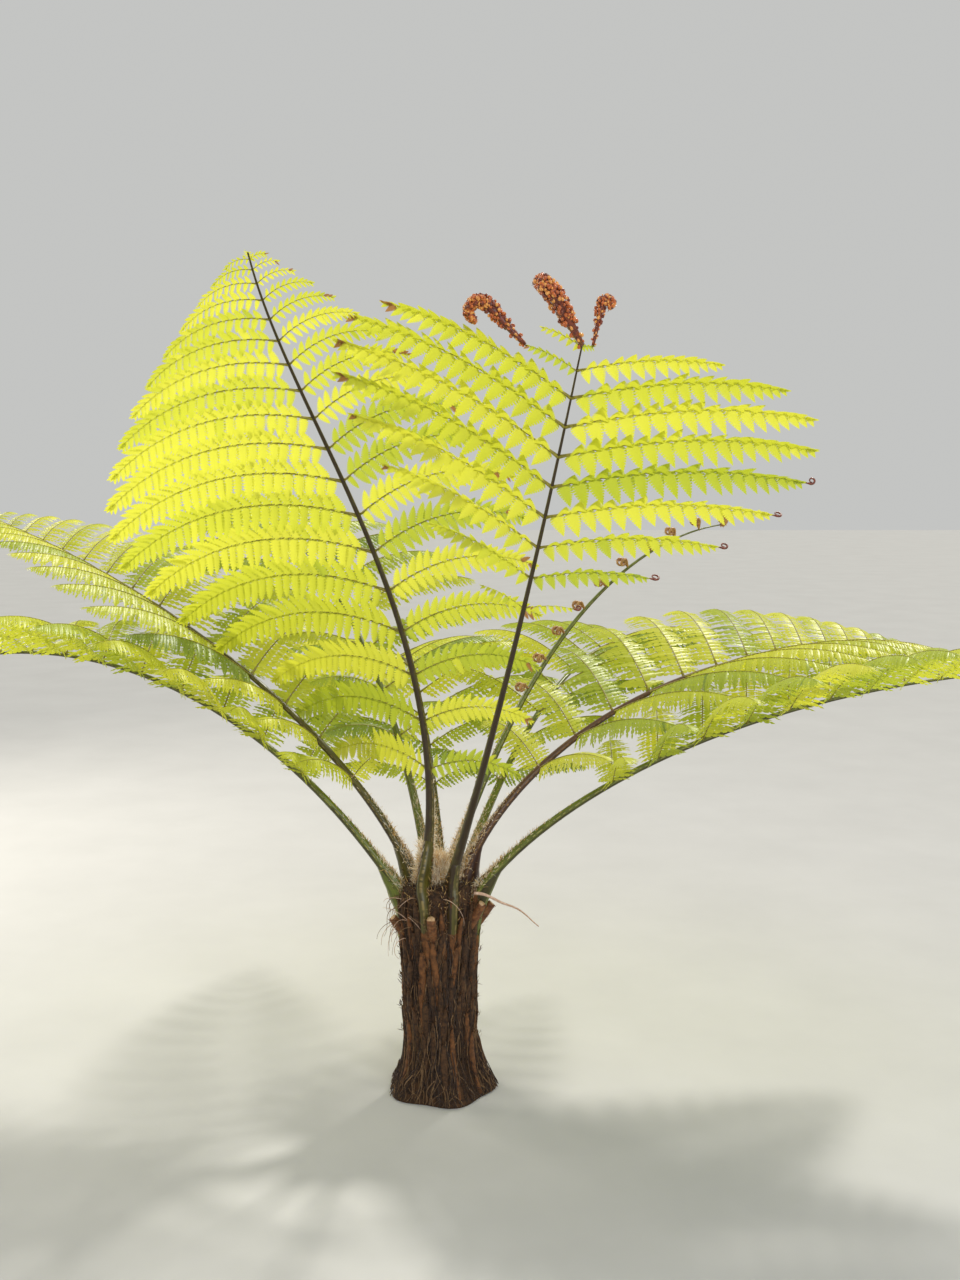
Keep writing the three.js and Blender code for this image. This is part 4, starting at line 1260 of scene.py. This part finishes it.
class FERN_OT_crown(bpy.types.Operator):
    """Build the clasping feet of the stalks, and the fibres and withered ends among them"""

    bl_idname = "fern.crown"
    bl_label = "Crown"

    def execute(self, context):
        shape = context.scene.fern_shape
        finish_set = finishes(context)
        rng = np.random.default_rng(61)
        feet = Heap()
        skins = list(finish_set.skins)
        for frond in [*FRONDS, YOUNG]:
            self.add_foot(feet, frond, skins.index(frond["skin"]), rng)
        materials = [*finish_set.skins.values(), finish_set.bark_warm, finish_set.wool, finish_set.root]
        feet.piece("stalk_feet", materials, "stalk")
        fibres = Heap()
        self.add_mound(fibres, shape.crown_fibres, rng)
        for _ in range(shape.curls):
            self.add_curl(fibres, rng)
        self.add_withered_stalk(fibres)
        materials = [finish_set.root, finish_set.root_pale, finish_set.wool, finish_set.dry]
        fibres.piece("crown_fibres", materials, "wool")
        return {"FINISHED"}

    def add_foot(self, heap, frond, slot, rng):
        """A stalk's foot, which runs on down the trunk over the shoulder."""
        foot = frond["foot"]
        upper = along_rib(rib_line(frond), np.linspace(SHEATH_TOP, 0, 8))[0]
        share = np.linspace(0.1, 1, 14)
        angle = rad(frond.get("down", foot["heading"])) + rng.normal(0, 0.08) * share
        skin, outward = trunk_skin(angle, foot["up"] - SHEATH_RUN * share)
        clasp = (np.arange(8) / 7)[:, None] ** 1.5
        outer = np.vstack([mix(upper, skin[0], clasp), skin + outward * mix(0.003, -0.008, share)[:, None]])
        inner = np.vstack([upper, skin - outward * 0.03])
        for _ in range(3):
            for edge in (outer, inner):
                edge[1:-1] = (edge[:-2] + 2 * edge[1:-1] + edge[2:]) / 4
        place = np.linspace(0, 1, len(outer))[:, None]
        broad = FOOT_RADIUS * np.interp(place, [0, 0.35, 0.6, 1], [0.74, 1.05, 0.95, 0.3])
        deep = broad + np.linalg.norm(outer - inner, axis=1, keepdims=True) / 2
        sides = 12
        turn = round_angles(sides)
        radius = broad * deep / np.hypot(deep * np.sin(turn), broad * np.cos(turn))
        points = (outer + inner) / 2
        radius = radius * rng.uniform(0.96, 1.04, radius.shape)
        # The foot keeps the stalk's skin for its first rows, then it turns to bark
        row = np.arange(len(tube_faces(len(points), sides))) // (2 * sides)
        add_tube(heap, points, outward[0], radius, sides, np.where(row < SHEATH_SKIN_ROWS, slot, 3))
        count = SHEATH_HAIRS
        spot = rng.integers(2, len(points), count)
        across = np.cross(outward[0], UP) * rng.choice([-1, 1], (count, 1))
        base = outer[spot] + across * broad[spot] * rng.uniform(0.6, 1, (count, 1))
        out = strewn(across * 0.4 + UP * 0.9 + outward[0] * 0.2, 0.25, count, rng)
        add_blades(heap, base, out, drawn(FOOT_EDGE_HAIR, count, rng),
                   rng.choice([3, 4, 5], count, p=[0.4, 0.25, 0.35]), rng)

    def add_mound(self, heap, count, rng):
        """Short upright fibres and hairs all over the shoulder."""
        above = rng.uniform(-0.04, 0.05, count)
        angle = rng.uniform(0, 2 * math.pi, count)
        outward = direction(angle, 0 * angle)
        radius = np.interp(above, *SHOULDER.T) * rng.uniform(0.85, 1, count)
        base = trunk_middle(TRUNK_HEIGHT + np.minimum(above, -0.002)) + outward * radius[:, None]
        out = strewn(outward * 0.35 + UP, 0.35, count, rng)
        add_blades(heap, base, out, drawn(CROWN_FIBRE, count, rng),
                   rng.choice(3, count, p=[0.68, 0.2, 0.12]), rng)

    def add_curl(self, heap, rng):
        """A dried fibre that stands off the trunk's left side and curls down."""
        height = np.array(rng.uniform(0.39, 0.5))
        angle = np.array(rad(rng.normal(195, 34)))
        start, outward = trunk_skin(angle, height)
        share = np.linspace(0, 1, 14)
        heading = angle + rng.normal(0, 0.5) + rng.normal(0, 2.2) * share
        pitch = rad(rng.uniform(0, 60)) - rng.uniform(1.2, 2.8) * share
        steps = direction(heading, pitch) * rng.uniform(0.05, 0.12) / len(share)
        points = start - outward * 0.004 + np.cumsum(steps, axis=0)
        add_tube(heap, points, UP, 0.001 * mix(1, 0.4, share), 4, int(rng.choice([1, 3])))

    def add_withered_stalk(self, heap):
        """A thin stalk that withered and hangs out of the crown."""
        share = np.linspace(0, 1, 16)
        start, end = (np.array(WITHERED_STALK[k]) for k in ("start", "end"))
        points = start + (end - start) * share[:, None]
        points[:, 2] += WITHERED_STALK["sag"] * np.sin(share * math.pi) + 0.003 * np.sin(share * 11)
        add_tube(heap, points, [0, 1.0, 0], WITHERED_STALK["radius"] * mix(1, 0.3, share), 7, 3)


class FERN_OT_old_stalks(bpy.types.Operator):
    """Build the old stalks that were cut short"""

    bl_idname = "fern.old_stalks"
    bl_label = "Old stalks"

    def execute(self, context):
        finish_set = finishes(context)
        rng = np.random.default_rng(23)
        heap = Heap()
        for stub in STUBS:
            self.add_stub(heap, stub, rng)
        materials = [finish_set.stub, finish_set.cut, finish_set.root_pale]
        nodes = [f"old_stalk_{i + 1}" for i in range(len(STUBS))]
        heap.piece("old_stalks", materials, "old_stalk", nodes)
        return {"FINISHED"}

    def add_stub(self, heap, stub, rng):
        """One old stalk, the pale pith of its cut, and the fibres that fray from it."""
        rows, sides, count = 14, 14, 90
        outward = direction(rad(stub["heading"]), 0.0)
        travel = direction(rad(stub["heading"]), rad(stub["pitch"]))
        start = trunk_middle(stub["up"]) + outward * (trunk_radius(stub["up"]) - STUB_RADIUS)
        share = np.linspace(-0.2, 1, rows)
        points = start + travel * (share * stub["length"])[:, None]
        radius = STUB_RADIUS * mix(1, 0.8, np.clip(share, 0, 1)) * rng.uniform(0.97, 1.03, rows)
        add_tube(heap, points, outward, radius, sides)
        level = np.cross(travel, outward)
        level = level / np.linalg.norm(level)
        pith = points[-1] + travel * np.array([[-0.001], [0.0008]])
        side = np.tile(level, (2, 1))
        over = np.cross(side, unit(travel + outward * 0.25))
        whole, faces, uv = tube(pith, side, over, np.full(2, radius[-1] * 0.93), sides)
        heap.add(whole, faces, 1, uv)
        around = rng.uniform(0, 2 * math.pi, count)
        climb = rng.uniform(0, 0.95, count)
        spoke = spokes(level, np.cross(level, travel), around)
        base = start + travel * (climb * stub["length"])[:, None] + spoke * STUB_RADIUS * 0.88
        out = strewn(spoke * 0.4 + travel * rng.uniform(0.2, 1, (count, 1)), 0.2, count, rng)
        add_blades(heap, base, out, drawn(OLD_STALK_FIBRE, count, rng), 2, rng)


class FERN_OT_bud(bpy.types.Operator):
    """Build the woolly bud in the middle of the crown, and the wool around it"""

    bl_idname = "fern.bud"
    bl_label = "Woolly bud"

    def execute(self, context):
        shape = context.scene.fern_shape
        finish_set = finishes(context)
        rng = np.random.default_rng(37)
        heap = Heap()
        self.add_bud(heap, shape.bud_hairs, rng)
        self.add_fleece(heap, FRONT_LEFT, shape.bud_hairs // 3, rng)
        materials = [finish_set.wool, finish_set.wool_pale]
        heap.piece("crown_bud_wool", materials, "wool", ("crown_bud",))
        return {"FINISHED"}

    def add_bud(self, heap, count, rng):
        """The bud's body, a little inside its solid, and the wool that stands on it."""
        middle = trunk_middle(TRUNK_HEIGHT) + np.array([BUD["x"], BUD["y"], -BUD["sunk"]])
        rows, sides, inside = 16, 24, 0.93
        rise = np.linspace(0, math.pi / 2 * 0.96, rows)
        angle = round_angles(sides)
        level = np.cos(rise)[:, None] * BUD["radius"] * inside * rng.uniform(0.96, 1.04, (rows, sides))
        height = np.sin(rise)[:, None] * BUD["height"] * inside + np.zeros((rows, sides))
        skin = np.stack([level * np.cos(angle), level * np.sin(angle), height], axis=-1) + middle
        tip = middle + UP * BUD["height"] * 0.94
        heap.add(np.vstack([skin.reshape(-1, 3), middle, tip]), tube_faces(rows, sides))
        out = rng.normal(size=(count, 3))
        out[:, 2] = np.abs(out[:, 2])
        out = unit(out)
        base = middle + out * np.array([BUD["radius"], BUD["radius"], BUD["height"]]) * inside
        lie = strewn(out * 0.5 + UP, 0.3, count, rng)
        length, width, curl = drawn(BUD_WOOL, count, rng)
        add_blades(heap, base, lie, (length * mix(1, 1.5, out[:, 2] ** 2), width, curl),
                   (rng.random(count) < 0.7).astype(int), rng)

    def add_fleece(self, heap, frond, count, rng):
        """Wool that fills the gap on the left of a stalk's foot."""
        at = along_rib(rib_line(frond), rng.beta(1, 1.5, count) * 0.065)[0]
        outward = direction(rng.uniform(rad(130), rad(215), count), np.zeros(count))
        base = at + outward * rng.uniform(0.009, 0.02, (count, 1))
        lie = strewn(outward * 0.35 + UP, 0.3, count, rng)
        add_blades(heap, base, lie, drawn(FLEECE, count, rng), (rng.random(count) < 0.8).astype(int), rng)


class FERN_OT_stalks(bpy.types.Operator):
    """Build the stalks and ribs of all fronds, and the golden hairs on their feet"""

    bl_idname = "fern.stalks"
    bl_label = "Stalks"

    def execute(self, context):
        shape = context.scene.fern_shape
        finish_set = finishes(context)
        hairs = Heap()
        rng = np.random.default_rng(41)
        for frond in FRONDS:
            nodes = (f"stalk_{frond['name']}", *frond_nodes(frond))
            grow_stalk(frond, shape, finish_set, nodes)
            foot_hairs(hairs, frond, shape.hairs, rng)
        foot_hairs(hairs, YOUNG, shape.hairs, rng, 0.12)
        hairs.piece("foot_hairs", [finish_set.wool, finish_set.wool_pale], "wool")
        return {"FINISHED"}


class FERN_OT_fronds(bpy.types.Operator):
    """Build the leaf segments and leaflet ribs of all fronds"""

    bl_idname = "fern.fronds"
    bl_label = "Fronds"

    def execute(self, context):
        finish_set = finishes(context)
        for i, frond in enumerate(FRONDS):
            grow_frond(frond, 100 + i, context.scene.fern_shape, finish_set)
        return {"FINISHED"}


class FERN_OT_young(bpy.types.Operator):
    """Build the young frond, whose leaflets are still small coils"""

    bl_idname = "fern.young"
    bl_label = "Young frond"

    def execute(self, context):
        finish_set = finishes(context)
        grow_stalk(YOUNG, context.scene.fern_shape, finish_set, ("stalk_young", "frond_young"))
        rng = np.random.default_rng(53)
        line = rib_line(YOUNG)
        heap = Heap()
        apart = rad(YOUNG_COILS_APART)
        for i in range(YOUNG_PAIRS):
            place = mix(YOUNG["bare"], YOUNG_PAIRS_END, i / (YOUNG_PAIRS - 1))
            at, travel, side = along_rib(line, place)
            up = np.cross(side, travel)
            for hand in (1, -1):
                away = up * math.cos(apart) + side * hand * math.sin(apart)
                axis = unit(np.cross(travel, away))
                coil = add_crozier(heap, at, away, axis, **YOUNG_COIL, sides=8)
                self.add_fuzz(heap, *coil, COIL_FUZZ, rng)
        start, travel, side = along_rib(line, 1.0)
        tip = add_crozier(heap, start, travel, side, **YOUNG_TIP, sides=10)
        self.add_fuzz(heap, *tip, TIP_FUZZ, rng)
        materials = [finish_set.coil, finish_set.rust, finish_set.wool]
        heap.piece("young_coils", materials, "rust_scales", ("frond_young", "crozier_young"))
        return {"FINISHED"}

    def add_fuzz(self, heap, points, thick, count, rng):
        """Short fuzz all over a coil."""
        row = rng.uniform(0, len(points) - 1, count)
        spoke = unit(rng.normal(size=(count, 3)))
        radius = np.interp(row, np.arange(len(points)), thick)
        add_blades(heap, at_row(points, row) + spoke * radius[:, None] * 0.9, spoke,
                   drawn(YOUNG_FUZZ, count, rng), rng.integers(1, 3, count), rng)


class FERN_OT_croziers(bpy.types.Operator):
    """Build the rolled tips of the frond at the front right"""

    bl_idname = "fern.croziers"
    bl_label = "Rolled tips"

    def execute(self, context):
        finish_set = finishes(context)
        frond = FRONT_RIGHT
        line = rib_line(frond)
        start, travel, side = along_rib(line, 1.0)
        way = unit(travel + side * ROLLED_RIB_TURN)
        tips = [{"name": "crozier_front_right", "start": start, "travel": way,
                 "axis": square_to(side, way), **ROLLED_RIB}]
        for rolled in ROLLED_LEAFLETS:
            station = leaflet_stations(frond)[rolled["pair"]]
            length = leaflet_length(frond, station) * rolled["share"]
            points, ways, up = leaflet_line(frond, along_rib(line, station), rolled["hand"], length)
            way = unit(ways[-1] + UP * rolled["lift"])
            tips.append({"name": rolled["name"], "start": points[-1], "travel": way,
                         "axis": square_to(up, way) * -rolled["hand"], **rolled["shape"]})
        for tip in tips:
            scaly_crozier(tip, context.scene.fern_shape, finish_set)
        return {"FINISHED"}


class FERN_PT_panel(bpy.types.Panel):
    """The tree fern's pieces"""

    bl_label = "Lacy tree fern"
    bl_idname = "FERN_PT_panel"
    bl_space_type = "VIEW_3D"
    bl_region_type = "UI"
    bl_category = "Fern"

    def draw(self, context):
        for operator in OPERATORS:
            self.layout.operator(operator.bl_idname)
        for group in ("fern_shape", "fern_colours", "fern_stage"):
            settings = getattr(context.scene, group)
            for name in settings.bl_rna.properties.keys():
                if name not in ("rna_type", "name"):
                    self.layout.prop(settings, name)


OPERATORS = [
    FERN_OT_stage, FERN_OT_trunk, FERN_OT_crown, FERN_OT_old_stalks, FERN_OT_bud, FERN_OT_stalks,
    FERN_OT_fronds, FERN_OT_young, FERN_OT_croziers,
]
CLASSES = [FernShape, FernColours, FernStage, *OPERATORS, FERN_PT_panel]


def register():
    for cls in CLASSES:
        bpy.utils.register_class(cls)
    bpy.types.Scene.fern_shape = PointerProperty(type=FernShape)
    bpy.types.Scene.fern_colours = PointerProperty(type=FernColours)
    bpy.types.Scene.fern_stage = PointerProperty(type=FernStage)


def unregister():
    del bpy.types.Scene.fern_stage
    del bpy.types.Scene.fern_colours
    del bpy.types.Scene.fern_shape
    for cls in reversed(CLASSES):
        bpy.utils.unregister_class(cls)


def main():
    register()
    bpy.ops.fern.stage()
    bpy.ops.fern.trunk()
    bpy.ops.fern.crown()
    bpy.ops.fern.old_stalks()
    bpy.ops.fern.bud()
    bpy.ops.fern.stalks()
    bpy.ops.fern.fronds()
    bpy.ops.fern.young()
    bpy.ops.fern.croziers()


if __name__ == "__main__":
    main()
